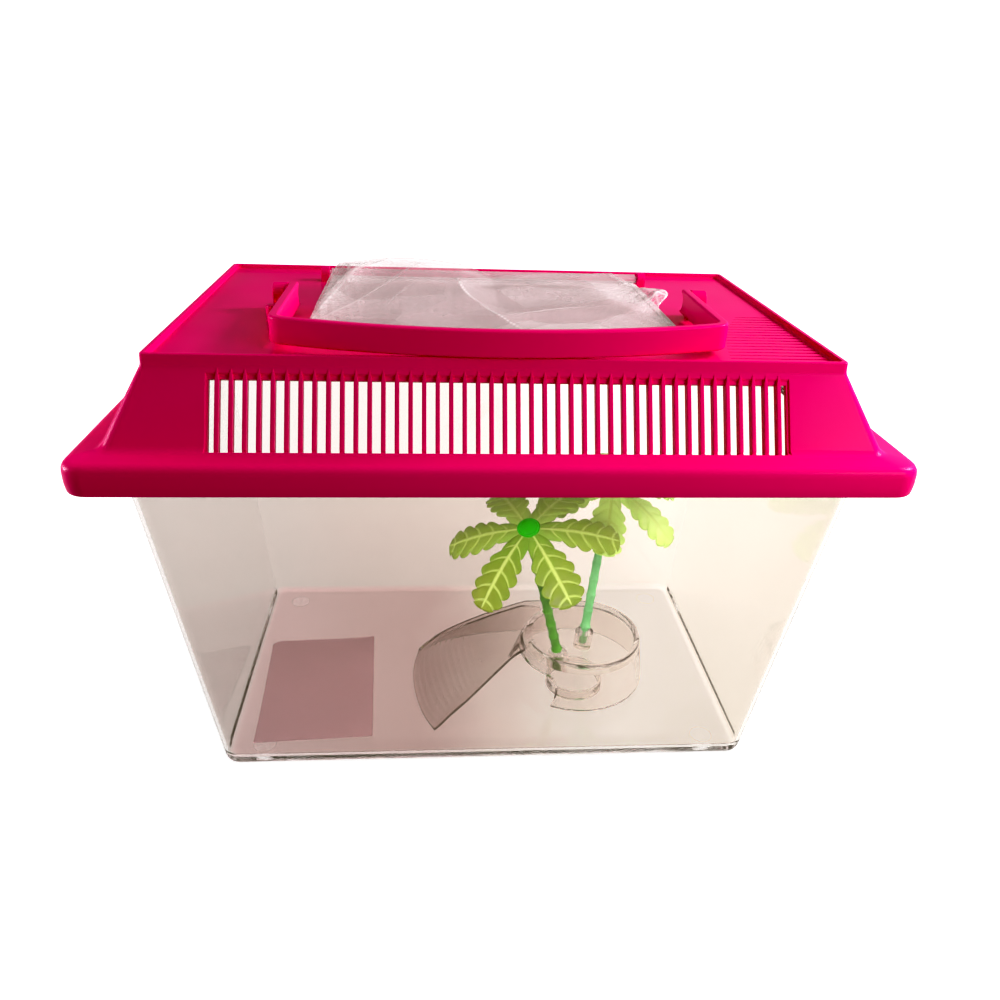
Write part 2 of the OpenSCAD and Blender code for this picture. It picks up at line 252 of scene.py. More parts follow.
def join(name, obs):
    """One object that holds the meshes of all of obs."""
    verts, faces = [], []
    for o in obs:
        k = len(verts)
        verts += [tuple(v.co) for v in o.data.vertices]
        faces += [tuple(k + i for i in p.vertices) for p in o.data.polygons]
        data = o.data
        bpy.data.objects.remove(o)
        bpy.data.meshes.remove(data)
    ob = link_mesh(name, verts, faces, 1.0)
    return ob


def box8(p):
    """Faces of a hexahedron whose corners come as bottom four, then top four, both the same way round."""
    return [(3, 2, 1, 0), (4, 5, 6, 7), (0, 1, 5, 4), (1, 2, 6, 5), (2, 3, 7, 6), (3, 0, 4, 7)]


def block(name, lo, hi):
    (x0, y0, z0), (x1, y1, z1) = lo, hi
    v = [(x0, y0, z0), (x1, y0, z0), (x1, y1, z0), (x0, y1, z0), (x0, y0, z1), (x1, y0, z1), (x1, y1, z1), (x0, y1, z1)]
    return link_mesh(name, v, box8(v))


def blocks(name, boxes):
    verts, faces = [], []
    for v in boxes:
        k = len(verts)
        verts += v
        faces += [tuple(k + i for i in f) for f in box8(v)]
    return clean(link_mesh(name, verts, faces))


def turned(name, profile, n=40, axis="Z", at=(0, 0, 0), matrix=None):
    """A solid of revolution. profile is a list of (radius, height) from the bottom centre to the top centre."""
    verts, faces, rows = [], [], []
    for r, h in profile:
        if r < 1e-6:
            rows.append([len(verts)])
            verts.append((0, 0, h))
        else:
            rows.append(list(range(len(verts), len(verts) + n)))
            verts += [(r * math.cos(2 * math.pi * i / n), r * math.sin(2 * math.pi * i / n), h) for i in range(n)]
    for a, b in zip(rows, rows[1:]):
        for i in range(n):
            j = (i + 1) % n
            if len(a) == 1 and len(b) == 1:
                continue
            if len(a) == 1:
                faces.append((a[0], b[i], b[j]))
            elif len(b) == 1:
                faces.append((a[i], a[j], b[0]))
            else:
                faces.append((a[i], a[j], b[j], b[i]))
    turn = {"Z": Matrix.Identity(3), "X": Matrix(((0, 0, 1), (1, 0, 0), (0, 1, 0))), "Y": Matrix(((1, 0, 0), (0, 0, 1), (0, 1, 0)))}[axis]
    out = []
    for v in verts:
        p = turn @ Vector(v) + Vector(at)
        if matrix is not None:
            p = matrix @ p
        out.append(tuple(p))
    return clean(link_mesh(name, out, faces))


def rounded_profile(r, h0, h1, e=0.4):
    """Profile of a cylinder with rounded rims."""
    k = [(math.sin(a), math.cos(a)) for a in (0, math.pi / 8, math.pi / 4, 3 * math.pi / 8, math.pi / 2)]
    low = [(r - e + e * s, h0 + e - e * c) for s, c in k]
    high = [(r - e + e * s, h1 - e + e * c) for s, c in reversed(k)]
    return [(0, h0)] + low + high + [(0, h1)]


def rr(l, w, r, z, cx=0.0, cy=0.0, n=8):
    pts = []
    for sx, sy, a0 in ((1, 1, 0), (-1, 1, 90), (-1, -1, 180), (1, -1, 270)):
        for i in range(n + 1):
            a = math.radians(a0 + 90 * i / n)
            pts.append((cx + sx * (l / 2 - r) + r * math.cos(a), cy + sy * (w / 2 - r) + r * math.sin(a), z))
    return pts


def round_path(stations, closed, steps=4):
    """Stations are (l, w, r, z, cx, cy, fillet). Each corner is replaced by a short curve of that fillet."""
    p = [np.array(s[:6], float) for s in stations]
    out = []
    for i, s in enumerate(stations):
        f = s[6]
        if f <= 0 or (not closed and i in (0, len(p) - 1)):
            out.append(p[i])
            continue
        a, b = p[i - 1], p[(i + 1) % len(p)]

        def dist(u, v):
            return max(1e-6, math.hypot(max(abs(u[0] - v[0]), abs(u[1] - v[1])) / 2, u[3] - v[3]))

        ta, tb = min(f / dist(a, p[i]), 0.49), min(f / dist(b, p[i]), 0.49)
        s0, s1 = p[i] + (a - p[i]) * ta, p[i] + (b - p[i]) * tb
        for k in range(steps + 1):
            t = k / steps
            out.append((1 - t) ** 2 * s0 + 2 * t * (1 - t) * p[i] + t * t * s1)
    return out


def loft(name, stations, closed, steps=4, n=8, caps=True):
    rings = [rr(*s[:4], cx=s[4], cy=s[5], n=n) for s in round_path(stations, closed, steps)]
    m = len(rings[0])
    verts = [v for ring in rings for v in ring]
    faces = []
    pairs = list(range(len(rings) - 1)) + ([len(rings) - 1] if closed else [])
    for a in pairs:
        b = (a + 1) % len(rings)
        for i in range(m):
            j = (i + 1) % m
            faces.append((a * m + i, a * m + j, b * m + j, b * m + i))
    if not closed and caps:
        faces.append(tuple(range(m)))
        faces.append(tuple((len(rings) - 1) * m + i for i in range(m)))
    return clean(link_mesh(name, verts, faces))


def tube(name, path, section, caps=True, up=Vector((0, 0, 1))):
    """Sweeps a closed section of (across, up) points along a path."""
    pts = [Vector(p) for p in path]
    verts, faces, m = [], [], len(section)
    for i, p in enumerate(pts):
        t = (pts[min(i + 1, len(pts) - 1)] - pts[max(i - 1, 0)]).normalized()
        side = t.cross(up).normalized()
        top = side.cross(t).normalized()
        verts += [tuple(p + side * u + top * v) for u, v in section]
    for a in range(len(pts) - 1):
        for i in range(m):
            j = (i + 1) % m
            faces.append((a * m + i, a * m + j, (a + 1) * m + j, (a + 1) * m + i))
    if caps:
        faces.append(tuple(range(m)))
        faces.append(tuple((len(pts) - 1) * m + i for i in range(m)))
    return clean(link_mesh(name, verts, faces))


def rounded_section(w, h, r, n=4):
    return [(sx * (w / 2 - r) + r * math.cos(math.radians(a0 + 90 * i / n)), sy * (h / 2 - r) + r * math.sin(math.radians(a0 + 90 * i / n)))
            for sx, sy, a0 in ((1, 1, 0), (-1, 1, 90), (-1, -1, 180), (1, -1, 270)) for i in range(n + 1)]


# ------------------------------------------------------------------ materials
def node(nt, kind, **values):
    n = nt.nodes.new(kind)
    for k, v in values.items():
        if k in n.inputs:
            n.inputs[k].default_value = v
        else:
            setattr(n, k, v)
    return n


def coords(nt):
    return node(nt, "ShaderNodeTexCoord").outputs["Object"]


def noise_tex(nt, vector, scale, detail=3.0, rough=0.55):
    n = node(nt, "ShaderNodeTexNoise", Scale=scale, Detail=detail, Roughness=rough)
    nt.links.new(vector, n.inputs["Vector"])
    return n.outputs["Fac"]


def ramp(nt, fac, stops):
    n = nt.nodes.new("ShaderNodeValToRGB")
    el = n.color_ramp.elements
    while len(el) < len(stops):
        el.new(0.5)
    for e, (p, c) in zip(el, stops):
        e.position, e.color = p, (*c, 1) if len(c) == 3 else c
    nt.links.new(fac, n.inputs["Fac"])
    return n.outputs["Color"]


def map_range(nt, value, a, b, c, d):
    n = node(nt, "ShaderNodeMapRange")
    n.inputs["From Min"].default_value, n.inputs["From Max"].default_value = a, b
    n.inputs["To Min"].default_value, n.inputs["To Max"].default_value = c, d
    nt.links.new(value, n.inputs["Value"])
    return n.outputs["Result"]


def bump(nt, height, strength, distance, normal=None):
    n = node(nt, "ShaderNodeBump", Strength=strength, Distance=distance)
    nt.links.new(height, n.inputs["Height"])
    if normal is not None:
        nt.links.new(normal, n.inputs["Normal"])
    return n.outputs["Normal"]


def pink_plastic(name, deep, bright, glow, seed=0.0):
    """Moulded PP: even colour with a faint flow pattern, satin gloss, a little light coming through."""
    mat, nt, out = new_material(name)
    b = node(nt, "ShaderNodeBsdfPrincipled")
    c = coords(nt)
    flow = node(nt, "ShaderNodeMapping")
    flow.inputs["Scale"].default_value = (7.0, 16.0, 30.0)
    flow.inputs["Location"].default_value = (seed, seed * 0.7, 0)
    nt.links.new(c, flow.inputs["Vector"])
    swirl = noise_tex(nt, flow.outputs["Vector"], 1.0, 2.0, 0.5)
    colour = ramp(nt, swirl, [(0.2, deep), (0.8, bright)])
    nt.links.new(colour, b.inputs["Base Color"])
    fine = noise_tex(nt, c, 1400.0, 2.0)
    soft = noise_tex(nt, c, 24.0, 1.0)
    nt.links.new(map_range(nt, soft, 0.3, 0.7, 0.28, 0.35), b.inputs["Roughness"])
    nt.links.new(bump(nt, fine, 0.05, 0.00005, bump(nt, soft, 0.05, 0.0008)), b.inputs["Normal"])
    b.inputs["Specular IOR Level"].default_value = 0.09
    through = node(nt, "ShaderNodeBsdfTranslucent")
    nt.links.new(colour, through.inputs["Color"])
    mix = nt.nodes.new("ShaderNodeMixShader")
    mix.inputs[0].default_value = glow
    nt.links.new(b.outputs[0], mix.inputs[1])
    nt.links.new(through.outputs[0], mix.inputs[2])
    nt.links.new(mix.outputs[0], out.inputs["Surface"])
    return mat


def let_light_in(nt, surface, shade):
    """Clear plastic passes light from lamps and walls straight on to what is behind it."""
    clear = node(nt, "ShaderNodeBsdfTransparent")
    clear.inputs["Color"].default_value = (*shade, 1)
    path = node(nt, "ShaderNodeLightPath")
    mix = nt.nodes.new("ShaderNodeMixShader")
    nt.links.new(path.outputs["Is Shadow Ray"], mix.inputs[0])
    nt.links.new(surface, mix.inputs[1])
    nt.links.new(clear.outputs[0], mix.inputs[2])
    return mix.outputs[0]


def clear_plastic(name, tint, shade, rough=(0.015, 0.05), ripple=0.03, ior=1.36, haze=0.0, haze_colour=(0.9, 0.85, 0.86), ends=None, plate=None, veil=None):
    """Clear moulded plastic: refracts, with a faint haze.

    ends: stops of X in metres and colour along the wall, painted shade that greys it towards the left; plate: the same
    for the floor plate, below z 3.3 mm, painted shadow and pink light cast by the lid;
    veil: axis, where the haze starts to clear, where it is down to haze, and its value before.
    """
    mat, nt, out = new_material(name)
    b = node(nt, "ShaderNodeBsdfPrincipled")
    b.inputs["Transmission Weight"].default_value = 1.0
    b.inputs["IOR"].default_value = ior
    c = coords(nt)
    cloud = noise_tex(nt, c, 14.0, 2.0)
    # painted shade: the colour stops along X darken the plastic where less light reaches it
    if ends:
        sep = node(nt, "ShaderNodeSeparateXYZ")
        nt.links.new(c, sep.inputs[0])
        drift = node(nt, "ShaderNodeMath", operation="MULTIPLY_ADD")
        nt.links.new(cloud, drift.inputs[0])
        drift.inputs[1].default_value = 0.06
        nt.links.new(sep.outputs["X"], drift.inputs[2])
        place = map_range(nt, drift.outputs[0], -0.12, 0.18, 0.0, 1.0)

        def along(stops):
            return ramp(nt, place, [((x + 0.15) / 0.30, colour) for x, colour in stops])

        colour = along(ends)
        # painted shadow and pink light from the lid, laid on the floor plate below z 3.3 mm
        if plate:
            low = map_range(nt, sep.outputs["Z"], 0.0029, 0.0042, 1.0, 0.0)
            both = node(nt, "ShaderNodeMix", data_type="RGBA")
            nt.links.new(low, both.inputs["Factor"])
            nt.links.new(colour, both.inputs["A"])
            nt.links.new(along(plate), both.inputs["B"])
            colour = both.outputs["Result"]
        nt.links.new(colour, b.inputs["Base Color"])
    else:
        nt.links.new(ramp(nt, cloud, [(0.3, tuple(x * 0.985 for x in tint)), (0.7, tint)]), b.inputs["Base Color"])
    scuff = node(nt, "ShaderNodeMapping")
    scuff.inputs["Scale"].default_value = (30.0, 160.0, 160.0)
    scuff.inputs["Rotation"].default_value = (0.2, 0.4, 0.5)
    nt.links.new(c, scuff.inputs["Vector"])
    wear = noise_tex(nt, scuff.outputs["Vector"], 1.0, 4.0, 0.6)
    nt.links.new(map_range(nt, wear, 0.45, 0.8, rough[0], rough[1]), b.inputs["Roughness"])
    wave = noise_tex(nt, c, 9.0, 1.0)
    nt.links.new(bump(nt, wave, ripple, 0.002), b.inputs["Normal"])
    surface = b.outputs[0]
    if haze > 0:
        d = node(nt, "ShaderNodeBsdfPrincipled")
        d.inputs["Base Color"].default_value = (*haze_colour, 1)
        nt.links.new(map_range(nt, wear, 0.3, 0.8, 0.35, 0.5), d.inputs["Roughness"])
        mix = nt.nodes.new("ShaderNodeMixShader")
        mix.inputs[0].default_value = haze
        if veil:
            where = node(nt, "ShaderNodeSeparateXYZ")
            nt.links.new(c, where.inputs[0])
            nt.links.new(map_range(nt, where.outputs[veil[0]], veil[1], veil[2], veil[3], haze), mix.inputs[0])
        nt.links.new(surface, mix.inputs[1])
        nt.links.new(d.outputs[0], mix.inputs[2])
        surface = mix.outputs[0]
    nt.links.new(let_light_in(nt, surface, shade), out.inputs["Surface"])
    return mat


def film_plastic(name):
    """Thin crinkled film: clear on the flat, milky where it doubles; its crease lines are partly milky fold and partly
    painted highlight.
    """
    mat, nt, out = new_material(name)
    b = node(nt, "ShaderNodeBsdfPrincipled")
    c = coords(nt)
    crease_and_glint = node(nt, "ShaderNodeAttribute", attribute_name="crease_and_glint")
    milk = noise_tex(nt, c, 28.0, 4.0)
    b.inputs["Base Color"].default_value = (0.99, 0.925, 0.928, 1)
    nt.links.new(map_range(nt, milk, 0.3, 0.7, 0.10, 0.24), b.inputs["Roughness"])
    b.inputs["Specular IOR Level"].default_value = 0.9
    clear = node(nt, "ShaderNodeBsdfTransparent")
    clear.inputs["Color"].default_value = (0.935, 0.905, 0.915, 1)
    # facets between folds differ a little, and the back edge lies single over the rim
    stretch = node(nt, "ShaderNodeMapping")
    stretch.inputs["Scale"].default_value = (26.0, 44.0, 4.0)
    stretch.inputs["Rotation"].default_value = (0, 0, 0.5)
    nt.links.new(c, stretch.inputs["Vector"])
    facet = node(nt, "ShaderNodeTexVoronoi", feature="F1", Scale=1.0)
    nt.links.new(stretch.outputs["Vector"], facet.inputs["Vector"])
    fine = noise_tex(nt, c, 60.0, 1.5)
    nt.links.new(bump(nt, facet.outputs["Distance"], 0.6, 0.0035, bump(nt, fine, 0.10, 0.0010)), b.inputs["Normal"])
    split = node(nt, "ShaderNodeSeparateXYZ")
    nt.links.new(facet.outputs["Color"], split.inputs[0])
    cells = map_range(nt, split.outputs["X"], 0.0, 1.0, -0.09, 0.17)
    cloudy = node(nt, "ShaderNodeMath", operation="ADD")
    nt.links.new(cells, cloudy.inputs[0])
    nt.links.new(map_range(nt, milk, 0.25, 0.75, 0.16, 0.30), cloudy.inputs[1])
    where = node(nt, "ShaderNodeSeparateXYZ")
    nt.links.new(c, where.inputs[0])
    thin = node(nt, "ShaderNodeMath", operation="MULTIPLY")
    nt.links.new(cloudy.outputs[0], thin.inputs[0])
    reach = node(nt, "ShaderNodeMath", operation="ADD")
    nt.links.new(where.outputs["Y"], reach.inputs[0])
    nt.links.new(map_range(nt, where.outputs["X"], 0.0, 0.03, 0.0, -0.018), reach.inputs[1])
    nt.links.new(map_range(nt, reach.outputs[0], 0.027, 0.036, 1.0, 0.35), thin.inputs[1])
    # the crease mask makes fold lines opaque white: partly milky fold, partly painted highlight
    total = node(nt, "ShaderNodeMath", operation="ADD", use_clamp=True)
    nt.links.new(thin.outputs[0], total.inputs[0])
    nt.links.new(map_range(nt, crease_and_glint.outputs["Fac"], 0.0, 1.0, 0.0, 0.60), total.inputs[1])
    mix = nt.nodes.new("ShaderNodeMixShader")
    nt.links.new(total.outputs[0], mix.inputs[0])
    nt.links.new(clear.outputs[0], mix.inputs[1])
    nt.links.new(b.outputs[0], mix.inputs[2])
    nt.links.new(mix.outputs[0], out.inputs["Surface"])
    return mat


def frond_plastic(name):
    """Soft yellow-green leaf plastic: paler midrib and side veins, greener towards the hub; a per-frond attribute
    paints light, drawing a frond lighter where more light reaches it.
    """
    mat, nt, out = new_material(name)
    b = node(nt, "ShaderNodeBsdfPrincipled")
    uv = node(nt, "ShaderNodeUVMap", uv_map="leaf")
    sep = node(nt, "ShaderNodeSeparateXYZ")
    nt.links.new(uv.outputs["UV"], sep.inputs[0])
    c = coords(nt)

    def math_node(op, a, b_=None, clamp=False):
        n = node(nt, "ShaderNodeMath", operation=op, use_clamp=clamp)
        for i, v in enumerate((a, b_)):
            if v is None:
                continue
            if isinstance(v, (int, float)):
                n.inputs[i].default_value = v
            else:
                nt.links.new(v, n.inputs[i])
        return n.outputs[0]

    across = math_node("ABSOLUTE", math_node("MULTIPLY", math_node("SUBTRACT", sep.outputs["Y"], 0.5), 2.0))
    # side veins run to the notches between the lobes
    phase = math_node("MULTIPLY", math_node("SUBTRACT", sep.outputs["X"], math_node("MULTIPLY", across, 0.0)), 5.5)
    saw = math_node("FRACT", phase)
    edge = math_node("MINIMUM", saw, math_node("SUBTRACT", 1.0, saw))
    side = map_range(nt, edge, 0.03, 0.12, 1.0, 0.0)
    mid = map_range(nt, across, 0.04, 0.13, 1.0, 0.0)
    vein = math_node("MAXIMUM", mid, math_node("MULTIPLY", side, 0.8), True)
    patch = noise_tex(nt, c, 55.0, 3.0)
    green = ramp(nt, patch, [(0.3, (0.20, 0.36, 0.05)), (0.7, (0.32, 0.41, 0.08))])
    tip = ramp(nt, sep.outputs["X"], [(0.0, (0.26, 0.50, 0.08)), (0.35, (0.28, 0.42, 0.07)), (1.0, (0.31, 0.37, 0.07))])
    mixc = node(nt, "ShaderNodeMix", data_type="RGBA")
    mixc.inputs["Factor"].default_value = 0.5
    nt.links.new(green, mixc.inputs["A"])
    nt.links.new(tip, mixc.inputs["B"])
    # painted light: the per-frond attribute mixes a frond towards light yellow-green where more light reaches it
    painted_lit_leaf = node(nt, "ShaderNodeMix", data_type="RGBA")
    nt.links.new(node(nt, "ShaderNodeAttribute", attribute_name="painted_light").outputs["Fac"], painted_lit_leaf.inputs["Factor"])
    nt.links.new(mixc.outputs["Result"], painted_lit_leaf.inputs["A"])
    painted_lit_leaf.inputs["B"].default_value = (0.68, 0.86, 0.36, 1)
    veined = node(nt, "ShaderNodeMix", data_type="RGBA")
    nt.links.new(vein, veined.inputs["Factor"])
    nt.links.new(painted_lit_leaf.outputs["Result"], veined.inputs["A"])
    veined.inputs["B"].default_value = (0.62, 0.76, 0.30, 1)
    nt.links.new(veined.outputs["Result"], b.inputs["Base Color"])
    nt.links.new(map_range(nt, patch, 0.3, 0.7, 0.30, 0.42), b.inputs["Roughness"])
    fine = noise_tex(nt, c, 700.0, 2.0)
    n1 = bump(nt, fine, 0.15, 0.0001)
    nt.links.new(bump(nt, vein, 0.35, 0.0005, n1), b.inputs["Normal"])
    glow = node(nt, "ShaderNodeBsdfTranslucent")
    nt.links.new(veined.outputs["Result"], glow.inputs["Color"])
    mix = nt.nodes.new("ShaderNodeMixShader")
    mix.inputs[0].default_value = 0.42
    nt.links.new(b.outputs[0], mix.inputs[1])
    nt.links.new(glow.outputs[0], mix.inputs[2])
    nt.links.new(mix.outputs[0], out.inputs["Surface"])
    return mat


def green_plastic(name, dark, light, rough=0.32, spec=0.4):
    mat, nt, out = new_material(name)
    b = node(nt, "ShaderNodeBsdfPrincipled")
    c = coords(nt)
    patch = noise_tex(nt, c, 70.0, 3.0)
    nt.links.new(ramp(nt, patch, [(0.3, dark), (0.7, light)]), b.inputs["Base Color"])
    nt.links.new(map_range(nt, patch, 0.3, 0.7, rough - 0.06, rough + 0.06), b.inputs["Roughness"])
    b.inputs["Specular IOR Level"].default_value = spec
    fine = noise_tex(nt, c, 500.0, 3.0)
    nt.links.new(bump(nt, fine, 0.2, 0.00015), b.inputs["Normal"])
    nt.links.new(b.outputs[0], out.inputs["Surface"])
    return mat


def paper(name):
    mat, nt, out = new_material(name)
    b = node(nt, "ShaderNodeBsdfPrincipled")
    c = coords(nt)
    fibre = node(nt, "ShaderNodeMapping")
    fibre.inputs["Scale"].default_value = (220.0, 620.0, 300.0)
    fibre.inputs["Rotation"].default_value = (0, 0, 0.4)
    nt.links.new(c, fibre.inputs["Vector"])
    strands = noise_tex(nt, fibre.outputs["Vector"], 1.0, 6.0, 0.7)
    cloud = noise_tex(nt, c, 45.0, 3.0)
    a = ramp(nt, strands, [(0.3, (0.325, 0.208, 0.240)), (0.7, (0.42, 0.275, 0.312))])
    d = ramp(nt, cloud, [(0.3, (0.335, 0.215, 0.248)), (0.7, (0.412, 0.268, 0.304))])
    mixc = node(nt, "ShaderNodeMix", data_type="RGBA")
    mixc.inputs["Factor"].default_value = 0.45
    nt.links.new(a, mixc.inputs["A"])
    nt.links.new(d, mixc.inputs["B"])
    nt.links.new(mixc.outputs["Result"], b.inputs["Base Color"])
    nt.links.new(map_range(nt, cloud, 0.3, 0.7, 0.62, 0.78), b.inputs["Roughness"])
    nt.links.new(bump(nt, strands, 0.35, 0.00012), b.inputs["Normal"])
    nt.links.new(b.outputs[0], out.inputs["Surface"])
    return mat


# ------------------------------------------------------------------ lid
RIM_Z, TOP_Z, PANEL_Z = 144.0, 185.7, 183.7
LEDGE = (270.8, 180.8, 156.3)
SLOPE_A = math.atan2((LEDGE[1] - 152.6) / 2, 181.5 - LEDGE[2])


def slope_point(s, x, out, up):
    """A point on the lid's front (s = -1) or back (s = 1) slope: out of its face and up along it."""
    ca, sa = math.cos(SLOPE_A), math.sin(SLOPE_A)
    return (x, s * LEDGE[1] / 2 + s * out * ca - s * up * sa, LEDGE[2] + out * sa + up * ca)


def slope_box(s, x0, x1, o0, o1, u0, u1):
    return [slope_point(s, *p) for p in ((x0, o0, u0), (x1, o0, u0), (x1, o1, u0), (x0, o1, u0), (x0, o0, u1), (x1, o0, u1), (x1, o1, u1), (x0, o1, u1))]


VENT_HALF, PITCH, BARS = 99.6, 4.6, 43


def make_lid():
    lid = loft("lid_shell", [
        (292.0, 199.0, 8.6, 144.0, 0, 0, 0.7),
        (293.0, 200.0, 9.0, 147.0, 0, 0, 1.5),
        (293.0, 200.0, 9.0, 154.7, 0, 0, 3.4),
        (270.8, 180.8, 4.6, 156.3, 0, 0, 2.2),
        (244.4, 152.6, 2.0, 181.5, 0, 0, 0.9),
        (243.9, 152.1, 1.8, 185.7, 0, 0, 0.6),
        (240.2, 148.4, 1.4, 185.7, 0, 0, 0.5),
        (239.8, 148.0, 1.2, 183.7, 0, 0, 0.7),
        (138.0, 89.0, 2.5, 183.7, 0, 0.5, 0.5),
        (138.0, 89.0, 2.5, 181.7, 0, 0.5, 0.4),
        (240.4, 148.6, 1.2, 181.7, 0, 0, 0.8),
        (240.6, 148.8, 1.2, 179.4, 0, 0, 0.6),
        (266.8, 176.8, 3.2, 154.3, 0, 0, 1.2),
        (288.4, 195.4, 6.6, 152.2, 0, 0, 1.5),
        (289.2, 196.2, 7.0, 144.0, 0, 0, 0.5),
    ], closed=True, steps=4, n=8)
    cuts = []
    for s in (-1, 1):
        edges = [-VENT_HALF] + [PITCH * (i - (BARS - 1) / 2) for i in range(BARS)] + [VENT_HALF]
        for i in range(len(edges) - 1):
            x0 = edges[i] + (0.0 if i == 0 else 0.72)
            x1 = edges[i + 1] - (0.0 if i == len(edges) - 2 else 0.72)
            cuts.append(slope_box(s, x0, x1, -5, 5, 0.0, 24.8))
    for i in range(16):
        y = -66 + 4 * i
        x0 = min(110, 82.4 + 0.18 * (y + 66) + 0.0028 * (y + 66) ** 2)
        cuts.append([(x0, y - 0.25, 179), (118.8, y - 0.62, 179), (118.8, y + 0.62, 179), (x0, y + 0.25, 179), (x0, y - 0.25, 190), (118.8, y - 0.62, 190), (118.8, y + 0.62, 190), (x0, y + 0.25, 190)])
    # shallow field that the vent bars stand in
    fields = []
    for s in (-1, 1):
        a, b = VENT_HALF + 0.5, VENT_HALF + 1.3
        fields.append([slope_point(s, *p) for p in ((-a, -0.7, 0.9), (a, -0.7, 0.9), (b, 0.6, -0.2), (-b, 0.6, -0.2), (-a, -0.7, 26.2), (a, -0.7, 26.2), (b, 0.6, 27.6), (-b, 0.6, 27.6))])
    boolean(lid, blocks("cut_fields", fields), "DIFFERENCE")
    boolean(lid, blocks("cut_slots", cuts), "DIFFERENCE")
    # the bars' outer ribs, running out to a point above the slots
    parts = []
    verts, faces = [], []
    for s in (-1, 1):
        for i in range(BARS):
            x = PITCH * (i - (BARS - 1) / 2)
            rows = []
            for up, hw, o1 in ((0.5, 0.76, -0.1), (1.4, 0.76, 0.30), (24.6, 0.74, 0.34), (26.4, 0.52, 0.42), (28.3, 0.16, 0.10)):
                rows.append([slope_point(s, *p) for p in ((x - hw, -1.1, up), (x - hw, o1 - 0.14, up), (x - hw * 0.72, o1, up), (x + hw * 0.72, o1, up), (x + hw, o1 - 0.14, up), (x + hw, -1.1, up))])
            k, m = len(verts), 6
            verts += [v for r in rows for v in r]
            for a in range(len(rows) - 1):
                for q in range(m):
                    w = (q + 1) % m
                    faces.append((k + a * m + q, k + a * m + w, k + (a + 1) * m + w, k + (a + 1) * m + q))
            faces.append(tuple(k + q for q in range(m)))
            faces.append(tuple(k + (len(rows) - 1) * m + q for q in range(m)))
    ribs = clean(link_mesh("ribs", verts, faces))
    boolean(lid, ribs, "UNION")
    # handle lugs, hinge lugs and rest posts
    for s in (-1, 1):
        parts.append(arch_block("lug", s * 85.2 - 3, s * 85.2 + 3, -8, 190.8, 4.6, 183.2))
        parts.append(turned("post", [(0, 183.2), (3.2, 183.2), (2.75, 184.0)] + rounded_profile(2.6, 184.4, 190.2, 0.9)[3:], 28, at=(s * 86.4, -24, 0)))
        parts.append(arch_block("hinge", s * 74.5 - 1.9, s * 74.5 + 1.9, 51, 187.0, 3.2, 183.2))
    boolean(lid, join("lugs", parts), "UNION")
    bores = [turned("bore", [(0, -4), (2.08, -4), (2.08, 4), (0, 4)], 28, "X", (s * 85.2, -8, 190.8)) for s in (-1, 1)]
    bores += [turned("bore", [(0, -3), (1.58, -3), (1.58, 3), (0, 3)], 24, "X", (s * 74.5, 51, 187.0)) for s in (-1, 1)]
    boolean(lid, join("bores", bores), "DIFFERENCE")
    clean(lid)
    smooth(lid, 33)
    return lid


def arch_block(name, x0, x1, y, z, r, z0, e=0.45, n=14):
    """An upright lug with a round top, its rims rounded."""
    def outline(k):
        pts = [(y - r + k, z0), (y - r + k, z)]
        pts += [(y - (r - k) * math.cos(math.pi * i / n), z + (r - k) * math.sin(math.pi * i / n)) for i in range(1, n)]
        return pts + [(y + r - k, z), (y + r - k, z0)]
    rows = [(x0, outline(e)), (x0 + e * 0.3, outline(e * 0.3)), (x0 + e, outline(0)), (x1 - e, outline(0)), (x1 - e * 0.3, outline(e * 0.3)), (x1, outline(e))]
    verts, faces, m = [], [], len(rows[0][1])
    for x, o in rows:
        verts += [(x, a, b) for a, b in o]
    for a in range(len(rows) - 1):
        for i in range(m):
            j = (i + 1) % m
            faces.append((a * m + i, a * m + j, (a + 1) * m + j, (a + 1) * m + i))
    faces += [tuple(range(m)), tuple((len(rows) - 1) * m + i for i in range(m))]
    return clean(link_mesh(name, verts, faces))


# ------------------------------------------------------------------ handle
def make_handle():
    x, rc, rb, yb, piv, zc = 80.0, 5.2, 238.2, 162.0, -8.0, 190.8
    t = math.asin((x - rc) / (rb - rc))
    cy = yb - (rb - rc) * math.cos(t)
    path = [(-x, piv + 0.0)]
    path += [(-x, piv + (cy - piv) * i / 8) for i in range(1, 8)]
    path += [(-(x - rc) + rc * math.cos(math.pi + (math.pi / 2 - t) * i / 10), cy + rc * math.sin(math.pi + (math.pi / 2 - t) * i / 10)) for i in range(11)]
    path += [(rb * math.sin(a), yb - rb * math.cos(a)) for a in (-t + 2 * t * i / 48 for i in range(1, 48))]
    path += [((x - rc) - rc * math.cos(math.pi + (math.pi / 2 - t) * i / 10), cy + rc * math.sin(math.pi + (math.pi / 2 - t) * i / 10)) for i in range(10, -1, -1)]
    path += [(x, piv + (cy - piv) * i / 8) for i in range(7, 0, -1)] + [(x, piv)]
    h = tube("handle_bail", [(a, b, zc) for a, b in path], rounded_section(3.6, 9.6, 0.95, 5))
    extra = []
    for s in (-1, 1):
        extra.append(turned("eye", rounded_profile(4.8, -1.8, 1.8, 0.9), 40, "X", (s * 80.0, piv, zc)))
        extra.append(turned("pin", rounded_profile(2.0, -3.4, 3.4, 0.5), 28, "X", (s * 84.4, piv, zc)))
    boolean(h, join("eyes", extra), "UNION")
    clean(h)
    return smooth(h, 33)


